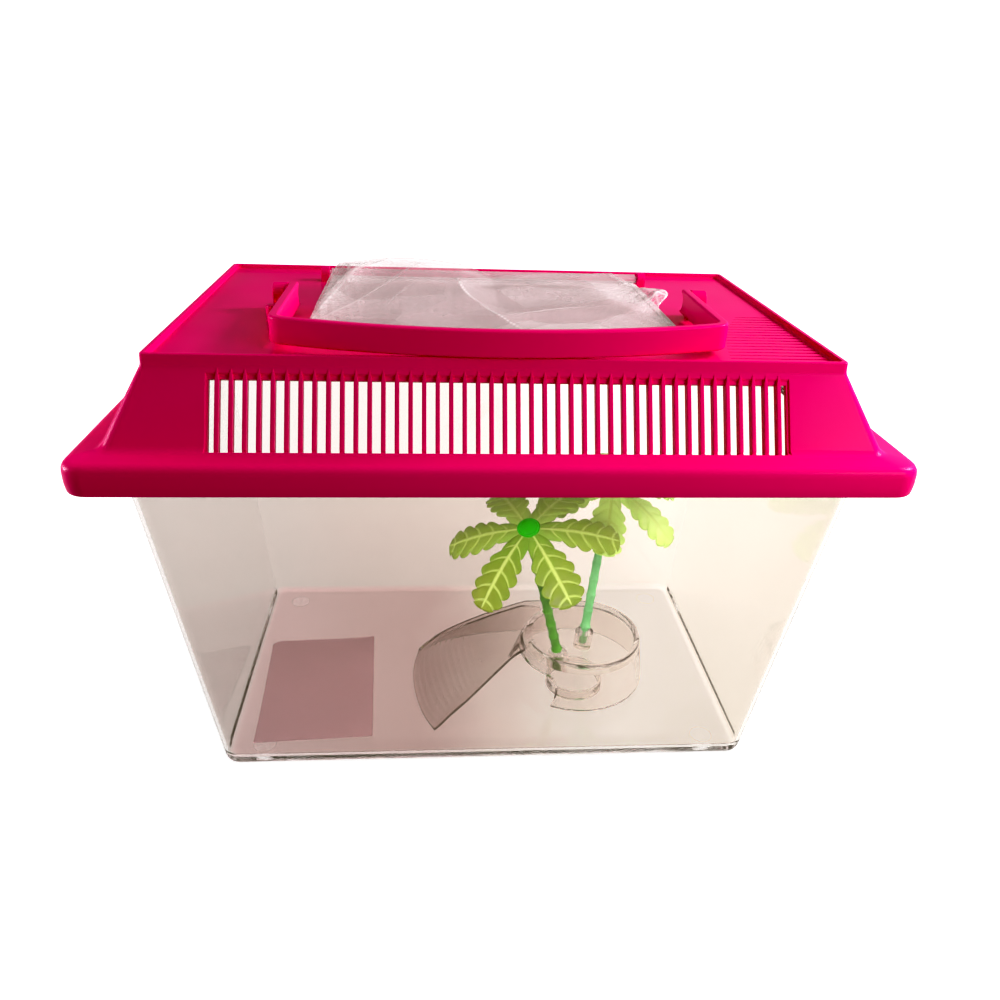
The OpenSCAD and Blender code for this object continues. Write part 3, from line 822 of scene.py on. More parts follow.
# ------------------------------------------------------------------ hatch
def make_door():
    d = loft("hatch_panel", [
        (142.2, 93.0, 2.6, 184.1, 0, 0, 0), (143.2, 94.0, 3, 184.5, 0, 0, 0.3), (143.2, 94.0, 3, 185.7, 0, 0, 0.3), (142.4, 93.2, 2.6, 186.1, 0, 0, 0.2),
        (137.0, 87.8, 2.0, 186.1, 0, 0, 0.2), (136.4, 87.2, 1.8, 185.7, 0, 0, 0)], closed=False, steps=2, n=6)
    web = block("web", (-70.4, 44, 184.1), (70.4, 51, 186.0))
    tab = loft("tab", [(23.2, 9.2, 2.0, 184.1, 0, -47.6, 0), (24, 10, 2.4, 184.5, 0, -47.4, 0.2), (24, 10, 2.4, 185.8, 0, -47.4, 0.3), (23.2, 9.2, 2.0, 186.15, 0, -47.6, 0)], closed=False, steps=2, n=6)
    grips = [turned("grip", rounded_profile(0.45, -9, 9, 0.4), 12, "X", (0, -50.6 + 1.5 * i, 186.1)) for i in range(3)]
    barrel = turned("barrel", rounded_profile(2.4, -71.9, 71.9, 0.4), 28, "X", (0, 51, 187))
    pins = turned("pins", rounded_profile(1.5, -76, 76, 0.3), 24, "X", (0, 51, 187))
    lip = loft("lip", [(136.8, 86.0, 2.0, 182.3, 0, -0.4, 0), (136.8, 86.0, 2.0, 184.4, 0, -0.4, 0), (134.4, 83.6, 1.2, 184.4, 0, -0.4, 0), (134.4, 83.6, 1.2, 182.3, 0, -0.4, 0)], closed=True, steps=1, n=6)
    for o in (web, tab, join("grips", grips), barrel, pins, lip):
        boolean(d, o, "UNION")
    clean(d)
    return smooth(d, 33)


# ------------------------------------------------------------------ film over the hatch
def film_shape(u, v):
    """Place of the film at u (left to right) and v (front to back), both 0 to 1, in mm."""
    front = np.array([(-71.0, -45.0), (-60.0, -51.0), (-34.0, -57.0), (0.0, -59.0), (34.0, -57.0), (57.0, -50.0), (69.0, -37.0)])
    back = np.array([(-66.5, 40.0), (-44.0, 41.5), (-20.0, 41.0), (0.0, 39.0), (20.0, 39.5), (42.0, 41.0), (58.0, 40.0)])

    def at(line, t):
        k = t * (len(line) - 1)
        i = min(int(k), len(line) - 2)
        f = k - i
        p0, p1, p2, p3 = line[max(i - 1, 0)], line[i], line[i + 1], line[min(i + 2, len(line) - 1)]
        return 0.5 * ((2 * p1) + (-p0 + p2) * f + (2 * p0 - 5 * p1 + 4 * p2 - p3) * f * f + (-p0 + 3 * p1 - 3 * p2 + p3) * f ** 3)

    p = at(front, u) * (1 - v) + at(back, u) * v
    # the right end runs out into a crumpled lobe
    lobe = math.exp(-((v - 0.46) / 0.13) ** 2) * max(0.0, (u - 0.80) / 0.20) ** 1.6
    return p[0] + 9.0 * lobe, p[1] - 4.0 * lobe


def crest(x, y, a, b, width, height):
    """A soft fold along a to b, its foot fading out over width."""
    ax, ay = a
    bx, by = b
    dx, dy = bx - ax, by - ay
    ll = dx * dx + dy * dy
    t = ((x - ax) * dx + (y - ay) * dy) / ll
    tc = min(1.0, max(0.0, t))
    bow = 2.2 * math.sin(math.pi * tc) * math.sin(ax + by)
    d = math.hypot(x - ax - tc * dx - bow * dy / math.sqrt(ll), y - ay - tc * dy + bow * dx / math.sqrt(ll))
    ends = math.sin(math.pi * min(1, max(0, tc * 0.9 + 0.05)))
    return height * math.exp(-(math.sqrt(d * d + 1.0) - 1.0) / width) * (0.4 + 0.6 * ends), math.exp(-(d / 0.5) ** 2) * ends


CRESTS = [  # from, to, width, height, brightness of the line, which is partly milky fold and partly painted highlight
    ((-71, -45), (-60, 8), 7, 1.4, 0.8), ((-60, 8), (-46, 38), 6, 1.4, 0.9), ((-71, -44), (-30, 30), 8, 0.9, 0.5),
    ((-14, 12), (-6, -16), 6, 2.0, 0.9), ((-6, -16), (9, -44), 7, 1.5, 1.0), ((-14, 12), (-40, 36), 9, 1.0, 0.15),
    ((-12, 38), (22, 8), 8, 1.5, 0.25), ((22, 8), (66, -6), 8, 1.0, 0.15), ((0, -30), (44, -14), 7, 1.2, 0.7),
    ((-68, -22), (-55, 22), 4, 0.9, 0.7), ((-61, 8), (-65, 38), 3, 1.2, 0.8), ((-52, 36), (-60, 2), 4, 1.0, 0.6), ((-64, 24), (-54, 30), 2.5, 0.9, 0.7),
    ((58, 3), (73, -1), 1.8, 1.1, 0.8), ((60, -14), (72, -3), 1.8, 1.0, 0.8), ((-30, 8), (-44, -20), 8, 0.9, 0.3),
    ((56, 38), (64, 2), 5, 1.8, 0.7), ((64, 2), (68, -34), 6, 1.2, 0.6), ((30, -50), (58, -14), 8, 1.0, 0.1),
    ((-48, -52), (-34, -20), 7, 1.0, 0.1), ((36, 38), (46, 6), 7, 1.2, 0.4), ((64, -8), (74, -10), 2.2, 1.4, 0.8), ((62, -2), (75, -6), 1.6, 1.0, 0.7),
]


def film_height(x, y, u, v):
    back = np.interp(x, [-66, -51, -37, -25, -12.6, -5.4, 1.5, 29, 55.6, 60], [7.4, 9.1, 10.1, 9.7, 8.3, 6.1, 3.6, 4.4, 5.4, 5.8])
    z = 0.5 + (back - 0.5) * (math.sin(math.pi / 2 * min(1, max(0, (v - 0.12) / 0.88))) ** 2.0)
    # left end bellies up, the front edge lies down behind the handle
    z += 1.6 * math.exp(-((u - 0.0) / 0.10) ** 2) * math.sin(math.pi * v) ** 0.7
    lobe = math.exp(-((v - 0.46) / 0.15) ** 2) * max(0.0, (u - 0.72) / 0.28) ** 1.3
    z += 3.0 * lobe
    mark = 0.0
    # each fold line is partly milky fold and partly painted highlight, brightest on the folds drawn as catching the
    # light
    for a, b, w, h, line_glint in CRESTS:
        dz, m = crest(x, y, a, b, w, h)
        z += dz * min(1.0, 0.25 + v * 3) * (1.0 - 0.7 * max(0.0, (v - 0.75) / 0.25))
        mark = max(mark, m * line_glint)
    # small facets: folded bands in three directions, stronger at the two ends
    near = 0.12 + 0.88 * max(math.exp(-(u / 0.12) ** 2), math.exp(-((1 - u) / 0.14) ** 2) * (1.0 if v < 0.7 else 0.5))
    for k, (cx, cy, ph, amp) in enumerate(((0.33, 0.19, 0.4, 0.20), (-0.16, 0.41, 1.7, 0.16), (0.52, -0.27, 2.9, 0.10))):
        warp = noise.noise(Vector((x * 0.05 + k * 7.1, y * 0.05, 0.3))) * 2.6
        q = (x * cx + y * cy + ph + warp) % 2.0
        tri = abs(q - 1.0)
        z += amp * near * (tri - 0.5)
        mark = max(mark, 0.5 * near * math.exp(-(min(tri, 1 - tri) / 0.05) ** 2))
    z += 0.5 * noise.noise(Vector((x * 0.035, y * 0.035, 4.2)))
    return z, mark


def make_film():
    nu, nv, t = 190, 130, 0.12
    verts, marks = [], []
    for j in range(nv + 1):
        for i in range(nu + 1):
            u, v = i / nu, j / nv
            x, y = film_shape(u, v)
            z, m = film_height(x, y, u, v)
            # a milky band along the edge
            e = min(u, 1 - u, v, 1 - v)
            verts.append((x, y, max(186.75, 186.3 + z)))
            marks.append(min(1.0, m + 0.8 * math.exp(-(e / 0.006) ** 2)))
    faces = []
    w = nu + 1
    for j in range(nv):
        for i in range(nu):
            faces.append((j * w + i, j * w + i + 1, (j + 1) * w + i + 1, (j + 1) * w + i))
    ob = link_mesh("hatch_film_sheet", verts, faces)
    at = ob.data.attributes.new("crease_and_glint", "FLOAT", "POINT")
    at.data.foreach_set("value", np.array(marks, np.float32))
    m = ob.modifiers.new("thick", "SOLIDIFY")
    m.thickness, m.offset = t * MM, 0.0
    bake_modifiers(ob)
    for p in ob.data.polygons:
        p.use_smooth = True
    return ob


# ------------------------------------------------------------------ tank
def tank_l(z):
    return 229.0 + 35.6 * z / 144.0


def tank_w(z):
    return 140.0 + 30.2 * z / 144.0


def make_tank():
    top = 151.8
    w = 1.7
    t = loft("tank_body", [
        (tank_l(0) - 6.4, tank_w(0) - 6.4, 4.0, 0.4, 0, 0, 0),
        (tank_l(0) - 4.8, tank_w(0) - 4.8, 4.6, 0.4, 0, 0, 0.4),
        (tank_l(1) - 1.5, tank_w(1) - 1.5, 5.8, 1.2, 0, 0, 0.7),
        (tank_l(2.8), tank_w(2.8), 6.3, 2.8, 0, 0, 1.2),
        (tank_l(148), tank_w(148), 7.1, 149.4, 0, 0, 1.4),
        (279.4, 189.4, 7.5, 150.0, 0, 0, 0.5),
        (280, 190, 7.5, 151.2, 0, 0, 0.3),
        (279.4, 189.4, 7.5, top, 0, 0, 0.3),
        (tank_l(top) - 2 * w + 0.8, tank_w(top) - 2 * w + 0.8, 6, top, 0, 0, 0.6),
        (tank_l(top - 2) - 2 * w, tank_w(top - 2) - 2 * w, 5.6, top - 2, 0, 0, 0.5),
        (tank_l(6) - 2 * w, tank_w(6) - 2 * w, 4.6, 5.2, 0, 0, 2.2),
        (tank_l(4) - 2 * w - 5, tank_w(4) - 2 * w - 5, 3.6, 2.7, 0, 0, 2.0),
        (tank_l(4) - 2 * w - 9, tank_w(4) - 2 * w - 9, 3, 2.7, 0, 0, 0),
    ], closed=False, steps=5, n=9)
    extra = []
    for sx in (-1, 1):
        for sy in (-1, 1):
            extra.append(turned("foot", rounded_profile(5.0, 0.0, 0.9, 0.2), 36, at=(sx * 99.4, sy * 57.5, 0)))
            x0 = sx * tank_l(top) / 2
            g = [(x0 - sx * 1.4, 150.6), (x0 + sx * 6, 150.6), (x0 + sx * 6, 149.2), (x0 - sx * 1.9, 135.2), (x0 - sx * 2.3, 135.2)]
            verts = [(a, sy * 62 - 0.8, b) for a, b in g] + [(a, sy * 62 + 0.8, b) for a, b in g]
            n = len(g)
            faces = [tuple(range(n)), tuple(range(n, 2 * n))] + [(i, (i + 1) % n, n + (i + 1) % n, n + i) for i in range(n)]
            extra.append(clean(link_mesh("gusset", verts, faces)))
    boolean(t, join("feet", extra), "UNION")
    clean(t)
    return smooth(t, 33)


# ------------------------------------------------------------------ island
FLOOR_Z, DECK_Z = 2.8, 20.0
RAMP_A, RAMP_TURN = math.radians(16.2), math.radians(7.6)


def slope_z(x, y):
    s = x * math.cos(RAMP_TURN) + y * math.sin(RAMP_TURN)
    return FLOOR_Z + 0.5 + math.tan(RAMP_A) * (s + 32.5)


def resample(line, n):
    p = np.array(line, float)
    d = np.r_[0, np.cumsum(np.linalg.norm(np.diff(p, axis=0), axis=1))]
    # Catmull-Rom through the points, evenly spaced
    fine = []
    for i in range(len(p) - 1):
        p0, p1, p2, p3 = p[max(i - 1, 0)], p[i], p[i + 1], p[min(i + 2, len(p) - 1)]
        for k in range(12):
            f = k / 12
            fine.append(0.5 * ((2 * p1) + (-p0 + p2) * f + (2 * p0 - 5 * p1 + 4 * p2 - p3) * f * f + (-p0 + 3 * p1 - 3 * p2 + p3) * f ** 3))
    fine.append(p[-1])
    q = np.array(fine)
    d = np.r_[0, np.cumsum(np.linalg.norm(np.diff(q, axis=0), axis=1))]
    t = np.linspace(0, d[-1], n + 1)
    return np.stack([np.interp(t, d, q[:, 0]), np.interp(t, d, q[:, 1])], 1)


def make_ramp():
    nu, nv = 120, 26
    foot = resample([(-24, -53), (-29.5, -41), (-33, -27), (-34.5, -14), (-34, -3), (-32, 7)], nv)
    top = resample([(30, -9), (33.5, -2), (34.5, 8), (32, 22.5)], nv)
    near = resample([(-24, -53), (-16, -45), (-8, -38), (3, -27), (9, -21), (17, -14), (30, -9)], nu)
    far = resample([(-32, 7), (-28, 11), (-21, 16), (-12, 19.5), (0, 22.5), (14, 24.5), (32, 22.5)], nu)
    verts, faces = [], []

    def plan(i, j):
        u, v = i / nu, j / nv
        a = (1 - v) * near[i] + v * far[i] + (1 - u) * foot[j] + u * top[j]
        b = (1 - u) * (1 - v) * foot[0] + (1 - u) * v * foot[-1] + u * (1 - v) * top[0] + u * v * top[-1]
        return a - b

    for side in (0, 1):
        for i in range(nu + 1):
            for j in range(nv + 1):
                x, y = plan(i, j)
                z = min(slope_z(x, y), DECK_Z + 0.0)
                if side == 0:
                    z = max(z, FLOOR_Z + 0.35)
                    run = (i / nu) * 66.0
                    if run < 31 and 1.5 < run:
                        f = (run - 1.5) / 2.9
                        f -= math.floor(f)
                        z += 0.62 * max(0.0, 1 - abs(f - 0.5) / 0.28) * min(1, j / 2.0, (nv - j) / 2.0)
                    z += 0.5 * math.exp(-((run - 0.4) / 0.55) ** 2)
                    verts.append((x, y, z))
                else:
                    verts.append((x, y, max(FLOOR_Z, z - 1.8)))
    w = nv + 1
    off = (nu + 1) * w
    for i in range(nu):
        for j in range(nv):
            a, b, c, d = i * w + j, (i + 1) * w + j, (i + 1) * w + j + 1, i * w + j + 1
            faces.append((a, b, c, d))
            faces.append((off + d, off + c, off + b, off + a))
    edge = [i * w for i in range(nu + 1)] + [nu * w + j for j in range(1, nv + 1)] + [i * w + nv for i in range(nu - 1, -1, -1)] + [j for j in range(nv - 1, 0, -1)]
    for a, b in zip(edge, edge[1:] + edge[:1]):
        faces.append((b, a, off + a, off + b))
    return clean(link_mesh("ramp", verts, faces), 0.00001)


def make_curb():
    outer = resample([(-32, 7), (-28, 11), (-21, 16), (-12, 19.5), (0, 22.5), (14, 24.5), (30, 25.5), (44, 25.3)], 90)
    verts, faces = [], []
    n = len(outer)
    for i, (x, y) in enumerate(outer):
        a, b = outer[max(i - 1, 0)], outer[min(i + 1, n - 1)]
        t = (b - a) / np.linalg.norm(b - a)
        inner = np.array((x, y)) + 1.7 * np.array((t[1], -t[0]))
        top = min(22.0, max(FLOOR_Z + 0.5, slope_z(x, y) + 1.3))
        e = 0.35
        for k, (fx, z) in enumerate(((0.0, FLOOR_Z), (0.0, top - e), (0.18, top - 0.1), (0.4, top), (0.6, top), (0.82, top - 0.1), (1.0, top - e), (1.0, FLOOR_Z))):
            p = np.array((x, y)) * (1 - fx) + inner * fx
            verts.append((p[0], p[1], z))
    m = 8
    for i in range(n - 1):
        for k in range(m):
            j = (k + 1) % m
            faces.append((i * m + k, i * m + j, (i + 1) * m + j, (i + 1) * m + k))
    faces += [tuple(range(m)), tuple((n - 1) * m + k for k in range(m))]
    return clean(link_mesh("curb", verts, faces), 0.00001)


def lean_matrix(root, ax, ay):
    return Matrix.Translation(Vector(root)) @ Matrix.Rotation(math.radians(ay), 4, "Y") @ Matrix.Rotation(math.radians(ax), 4, "X")


PALMS = {  # root, lean to the front, lean along X, trunk length, tip of the crown, spin
    "front": ((36.3, -17.0, 20.0), 12.4, -14.2, 76.9, 6.9, -14.0),
    "rear": ((53.0, 1.0, 20.0), -10.2, 6.9, 72.6, 26.6, -99.0),
}


def make_island():
    n = 96

    def disc(cx, cy, r, z):
        return [(cx + r * math.cos(2 * math.pi * i / n), cy + r * math.sin(2 * math.pi * i / n), z) for i in range(n)]

    def wall(z, inset=0.0):
        k = (z - FLOOR_Z) / (22.0 - FLOOR_Z)
        return (47 + 4 * k, -8 + 5 * k, 34 - 5.4 * k - inset, z)

    rings = [disc(51, -3, 1.0, 20.0), disc(51, -3, 25.4, 20.0), disc(51, -3, 26.1, 20.15), disc(51, -3, 26.4, 20.6), disc(51, -3, 26.45, 21.4),
             disc(51, -3, 26.75, 21.85), disc(51, -3, 27.3, 22.0), disc(51, -3, 27.9, 21.95), disc(51, -3, 28.45, 21.6), disc(51, -3, 28.65, 21.0)]
    rings += [disc(*wall(z)) for z in (18, 14, 10, 6, 3.4)] + [disc(*wall(2.8, 0.3)), disc(*wall(2.8, 1.3))]
    rings += [disc(*wall(z, 1.6)) for z in (3.4, 6, 10, 14, 17.0)] + [disc(51, -3, 26.9, 17.8), disc(51, -3, 26.0, 18.2), disc(51, -3, 1.0, 18.2)]
    verts = [v for r in rings for v in r]
    faces = []
    for a in range(len(rings) - 1):
        for i in range(n):
            j = (i + 1) % n
            faces.append((a * n + i, a * n + j, (a + 1) * n + j, (a + 1) * n + i))
    faces += [tuple(range(n)), tuple((len(rings) - 1) * n + i for i in range(n))]
    isl = clean(link_mesh("island_body", verts, faces), 0.00001)
    # arched cave mouth towards the front left
    m = Matrix.Translation((33, -19, 0)) @ Matrix.Rotation(math.radians(42), 4, "Z")
    half, top, r = 20.0, 14.2, 8.0
    arch = [(-half, -2.0), (-half, top - r)] + [(-half + r - r * math.cos(math.pi / 2 * i / 8), top - r + r * math.sin(math.pi / 2 * i / 8)) for i in range(1, 9)]
    arch += [(-a, b) for a, b in reversed(arch)]
    verts = [tuple(m @ Vector((x, 7 + a, b))) for x in (-40, 0) for a, b in arch]
    k = len(arch)
    faces = [tuple(range(k)), tuple(range(k, 2 * k))] + [(i, (i + 1) % k, k + (i + 1) % k, k + i) for i in range(k)]
    boolean(isl, clean(link_mesh("cave", verts, faces)), "DIFFERENCE")
    # way from the ramp on to the deck
    boolean(isl, block("way", (4, -10.5, 20.0), (37, 22.0, 26)), "DIFFERENCE")
    boolean(isl, make_ramp(), "UNION")
    boolean(isl, make_curb(), "UNION")
    bowl = clean(loft("bowl", [(27.6, 27.6, 13.7, 2.95, 45, -20, 0.3), (27.0, 27.0, 13.4, 7.6, 45, -20, 0.5), (24.6, 24.6, 12.2, 7.6, 45, -20, 0.5), (24.0, 24.0, 11.9, 2.95, 45, -20, 0.3)], closed=True, steps=3, n=14))
    bosses, sockets = [], []
    for root, ax, ay, *_ in PALMS.values():
        lm = lean_matrix(root, ax, ay)
        bosses.append(turned("boss", [(0, -11)] + [(3.6, -11), (4.3, -10.8), (4.6, -10.2)] + [(4.6, -1.0), (0, -1.0)], 40, matrix=lm))
        sockets.append(turned("socket", [(0, -8.5), (2.08, -8.5), (2.08, 6), (0, 6)], 32, matrix=lm))
    boolean(isl, join("bosses", bosses), "UNION")
    boolean(isl, join("sockets", sockets), "DIFFERENCE")
    isl = join("island_body", [isl, bowl])
    clean(isl, 0.000008)
    return smooth(isl, 33)


# ------------------------------------------------------------------ palms
def make_trunk(name, which):
    root, ax, ay, length, _, _ = PALMS[which]
    lm = lean_matrix(root, ax, ay)
    prof = [(0, -8.0), (1.5, -8.0), (1.96, -7.5), (1.96, 0.9), (2.2, 1.15), (2.7, 1.3), (2.75, 1.9), (2.5, 2.4)]
    steps = 8
    for i in range(steps):
        z0, z1 = 2.6 + (length - 4) * i / steps, 2.6 + (length - 4) * (i + 1) / steps
        r = 2.25 - 0.35 * i / steps
        prof += [(r + 0.02, z0 + 0.2), (r - 0.12, z0 + (z1 - z0) * 0.35), (r - 0.06, z0 + (z1 - z0) * 0.7), (r + 0.16, z1 - 0.9), (r + 0.28, z1 - 0.45), (r + 0.12, z1 - 0.1)]
    prof += [(1.9, length - 0.6), (1.6, length - 0.3), (1.6, length + 3.6), (1.3, length + 4.0), (0, length + 4.0)]
    seed = 3.1 if which == "front" else 8.7
    ob = turned(name, prof, 26)
    # slightly uneven, hand-trimmed look along the ring edges
    for v in ob.data.vertices:
        p = v.co / MM
        if 3.0 < p.z < length - 1:
            k = 1 + 0.035 * noise.noise(Vector((p.x * 0.8 + seed, p.y * 0.8, p.z * 0.25)))
            p.x *= k
            p.y *= k
        v.co = (lm @ p) * MM
    return smooth(ob, 50, False)


LOBES = 5.5
# painted light per frond: how much lighter each frond is drawn by where light reaches it; the rear palm is drawn lit
# throughout
FROND_PAINTED_LIGHT = {"front": (0.16, 0.40, 0.45, 0.18, 0.0, 0.05), "rear": (1.0, 0.95, 0.90, 1.0, 0.95, 0.90)}


def frond_point(t, v, length, under):
    """A point of a frond in its own frame: x outward, y across, z up."""
    a = abs(v)
    f = t * LOBES - math.floor(t * LOBES)
    lobe = 0.63 + 0.37 * math.sin(math.pi * min(1, max(0, f))) ** 0.5 if t < 0.93 else 0.97
    grow = 0.52 + 0.48 * (3 * min(1, t / 0.42) ** 2 - 2 * min(1, t / 0.42) ** 3)
    end = math.sqrt(max(0.004, 1 - (max(0.0, (t - 0.5)) / 0.5) ** 3.2))
    half = 9.0 * grow * end
    mix = min(1.0, a * 1.15) ** 2
    half *= (1 - mix) + mix * lobe
    sweep = 4.8 * a ** 1.3 * (1 - t ** 4) * min(1, t / 0.12)
    r = 3.4 + t * (length - 3.4) + sweep
    drop = 10.6 * (r / length) ** 2
    puff = 0.55 * math.sin(math.pi * f) * math.sin(math.pi * min(1, a * 1.02)) ** 0.8 * (1 if t < 0.95 else 0.4)
    rib = 0.45 * math.exp(-(v / 0.075) ** 2) * (1 - t) ** 0.3
    cup = -0.9 * a * a
    thick = 0.95 - 0.35 * a ** 3
    z = 5.4 - drop + cup + puff * 0.7 + (rib if not under else 0) - (thick if under else 0)
    return r, v * half, z


def make_crown(name, which):
    root, ax, ay, length, tip, spin = PALMS[which]
    base = lean_matrix(root, ax, ay) @ Matrix.Translation((0, 0, length + 0.1)) @ Matrix.Rotation(math.radians(tip), 4, "X") @ Matrix.Rotation(math.radians(spin), 4, "Z")
    nt_, nv = 88, 22
    verts, faces, uvs, frond_painted_light = [], [], [], []
    reach = 38.2
    for k in range(6):
        turn = Matrix.Rotation(2 * math.pi * k / 6, 4, "Z")
        lift = 0.9 * math.sin(k * 2.4 + (0.5 if which == "front" else 1.9))
        start = len(verts)
        for under in (False, True):
            for i in range(nt_ + 1):
                for j in range(nv + 1):
                    t, v = i / nt_, -1 + 2 * j / nv
                    x, y, z = frond_point(t, v, reach - 0.5 * (k % 2), under)
                    z += lift * (t ** 2)
                    verts.append(tuple(base @ turn @ Vector((x, y, z))))
                    uvs.append((t, (v + 1) / 2))
                    frond_painted_light.append(FROND_PAINTED_LIGHT[which][k])
        w = nv + 1
        off = (nt_ + 1) * w
        for i in range(nt_):
            for j in range(nv):
                a, b, c, d = (start + i * w + j, start + (i + 1) * w + j, start + (i + 1) * w + j + 1, start + i * w + j + 1)
                faces.append((a, b, c, d))
                faces.append((off + d, off + c, off + b, off + a))
        edge = [i * w for i in range(nt_ + 1)] + [nt_ * w + j for j in range(1, nv + 1)] + [i * w + nv for i in range(nt_ - 1, -1, -1)] + [j for j in range(nv - 1, 0, -1)]
        for a, b in zip(edge, edge[1:] + edge[:1]):
            faces.append((start + b, start + a, start + off + a, start + off + b))
    ob = link_mesh(name, verts, faces)
    me = ob.data
    layer = me.uv_layers.new(name="leaf")
    flat = np.zeros(len(me.loops) * 2, np.float32)
    idx = np.zeros(len(me.loops), np.int32)
    me.loops.foreach_get("vertex_index", idx)
    flat = np.array(uvs, np.float32)[idx].ravel()
    layer.data.foreach_set("uv", flat)
    me.attributes.new("painted_light", "FLOAT", "POINT").data.foreach_set("value", np.array(frond_painted_light, np.float32))
    bm = bmesh.new()
    bm.from_mesh(me)
    bmesh.ops.recalc_face_normals(bm, faces=bm.faces)
    bm.to_mesh(me)
    bm.free()
    smooth(ob, 60, False)
    # hub: a flared collar with the trunk's round end showing in it
    hub = turned(name.replace("fronds", "hub"), [(0, -0.1), (2.3, -0.1), (3.5, -0.1), (3.8, 0.3), (3.9, 2.0), (4.3, 4.2), (4.7, 5.4), (4.95, 6.2), (5.0, 6.7), (4.8, 7.0), (4.4, 7.1), (4.1, 7.0), (3.9, 7.2), (3.4, 7.4), (2.0, 7.5), (0, 7.55)], 48, matrix=base)
    smooth(hub, 50, False)
    return ob, hub


# ------------------------------------------------------------------ card
def make_card():
    nu, nv, t = 40, 60, 0.45
    verts, faces = [], []
    m = Matrix.Translation((-79.6, -20.8, 2.85)) @ Matrix.Rotation(math.radians(3), 4, "Z")
    for side in (0, 1):
        for j in range(nv + 1):
            for i in range(nu + 1):
                x, y = -26 + 52 * i / nu, -39 + 78 * j / nv
                # the back left corner is clipped
                cut = max(0.0, 3.2 + (-x - 26) + (y - 39) * 1.3)
                x, y = x + cut * 0.5, y - cut * 0.38
                z = 2.2 * max(0.0, (-y - 39 + 40) / 40) ** 2 + 0.35 * abs(noise.noise(Vector((x * 0.04, y * 0.04, 1.0)))) + 0.5 * max(0, (x - 14) / 12) ** 2 * max(0, (y - 20) / 19)
                verts.append(tuple(m @ Vector((x, y, z + (t if side == 0 else 0)))))
    w = nu + 1
    off = (nv + 1) * w
    for j in range(nv):
        for i in range(nu):
            a, b, c, d = j * w + i, j * w + i + 1, (j + 1) * w + i + 1, (j + 1) * w + i
            faces.append((a, b, c, d))
            faces.append((off + d, off + c, off + b, off + a))
    edge = list(range(nu + 1)) + [j * w + nu for j in range(1, nv + 1)] + [nv * w + i for i in range(nu - 1, -1, -1)] + [j * w for j in range(nv - 1, 0, -1)]
    for a, b in zip(edge, edge[1:] + edge[:1]):
        faces.append((b, a, off + a, off + b))
    ob = clean(link_mesh("care_card_sheet", verts, faces), 0.000001)
    return smooth(ob, 40, False)


# ------------------------------------------------------------------ build
def put(ob, body, slot, mat, *nodes):
    ob.data.materials.clear()
    ob.data.materials.append(mat)
    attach(ob, body)
    if nodes:
        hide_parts(*nodes)
    LIT.objects.link(ob)
    if body in ("palm_front", "palm_rear", "card"):
        INSIDE.objects.link(ob)
    if body in ("lid", "handle", "palm_front", "palm_rear"):
        LEFT.objects.link(ob)
    return ob


add_camera()
studio()

lid_mat = pink_plastic("lid_plastic", (0.84, 0.0008, 0.245), (0.89, 0.0015, 0.290), 0.10)
handle_mat = pink_plastic("handle_plastic", (0.81, 0.0008, 0.230), (0.86, 0.0015, 0.275), 0.05, 3.0)
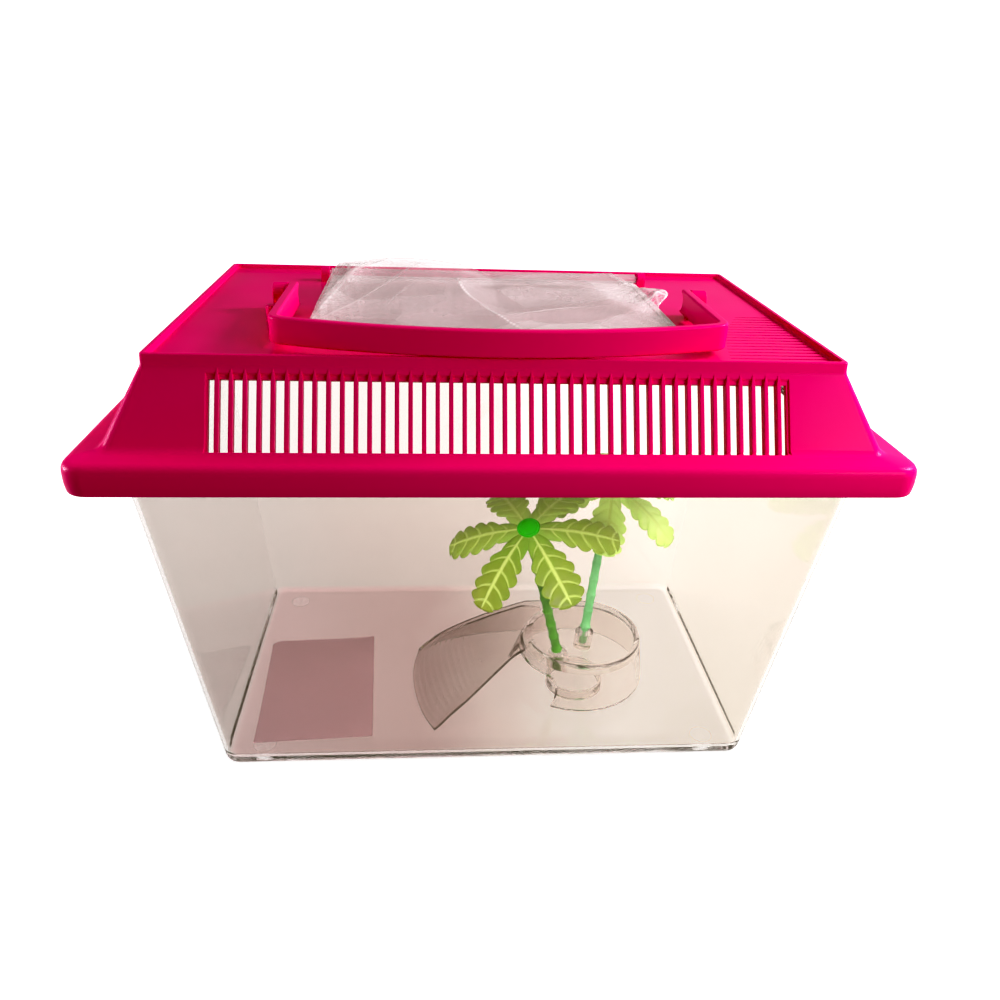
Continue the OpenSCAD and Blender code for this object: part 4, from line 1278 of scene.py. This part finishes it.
# painted shade: the tank's stops along X grey the walls at the left and clear them at the right; its plate stops paint
# the lid's shadow and pink light on the floor, pinkest and darkest at the left
tank_mat = clear_plastic("tank_plastic", (0.9, 0.88, 0.85), (0.97, 0.96, 0.955), haze=0.012, ripple=0.02,
                         ends=[(-0.13, (0.74, 0.71, 0.70)), (-0.05, (0.76, 0.71, 0.69)), (0.01, (0.80, 0.745, 0.72)), (0.06, (0.93, 0.89, 0.85)), (0.13, (0.87, 0.83, 0.785))],
                         plate=[(-0.10, (0.88, 0.70, 0.71)), (-0.03, (0.80, 0.625, 0.625)), (0.01, (0.96, 0.86, 0.825)), (0.04, (1.0, 0.95, 0.92)), (0.09, (1.0, 0.95, 0.92))])
hatch_mat = clear_plastic("hatch_plastic", (0.93, 0.88, 0.89), (0.95, 0.93, 0.94), haze=0.42, haze_colour=(0.99, 0.91, 0.915), veil=("Y", 0.0465, 0.0482, 0.72))
# painted shade: the island's stops along X darken it to a mauve at the left and clear it towards the right
island_mat = clear_plastic("island_plastic", (0.9, 0.85, 0.85), (0.95, 0.93, 0.93), rough=(0.01, 0.03), ripple=0.03, haze=0.05, haze_colour=(0.92, 0.74, 0.75),
                           ends=[(-0.03, (0.87, 0.80, 0.80)), (0.01, (0.90, 0.85, 0.84)), (0.035, (0.96, 0.93, 0.91)), (0.08, (0.98, 0.96, 0.94))],
                           veil=("X", 0.0, 0.035, 0.17))
film_mat = film_plastic("film_plastic")
leaf_mat = frond_plastic("leaf_plastic")
hub_mat = green_plastic("hub_plastic", (0.002, 0.38, 0.003), (0.004, 0.50, 0.006), spec=0.15)
trunk_mat = green_plastic("trunk_plastic", (0.055, 0.22, 0.03), (0.12, 0.32, 0.07))
# painted light: a lighter copy of the trunk plastic for the rear palm, drawn as if more light reaches it
trunk_rear_painted_lit_mat = green_plastic("trunk_rear_painted_light_plastic", (0.14, 0.42, 0.19), (0.24, 0.54, 0.28))
card_mat = paper("card_paper")

put(make_tank(), "tank", "tank_clear", tank_mat, "tank")
put(make_lid(), "lid", "lid_pink", lid_mat, "lid")
put(make_handle(), "handle", "lid_pink", handle_mat, "handle")
put(make_door(), "hatch", "hatch_clear", hatch_mat, "hatch_door")
film = put(make_film(), "hatch", "film_clear", film_mat, "hatch_film")
put(make_island(), "island", "island_clear", island_mat, "island")
put(make_trunk("palm_trunk_front_stem", "front"), "palm_front", "trunk_green", trunk_mat, "palm_trunk_front")
put(make_trunk("palm_trunk_rear_stem", "rear"), "palm_rear", "trunk_green", trunk_rear_painted_lit_mat, "palm_trunk_rear")
for which, body in (("front", "palm_front"), ("rear", "palm_rear")):
    leaves, hub = make_crown(f"palm_crown_{which}_fronds", which)
    put(leaves, body, "frond_green", leaf_mat, f"palm_crown_{which}")
    put(hub, body, "frond_green", hub_mat)
put(make_card(), "card", "card_paper", card_mat, "care_card")
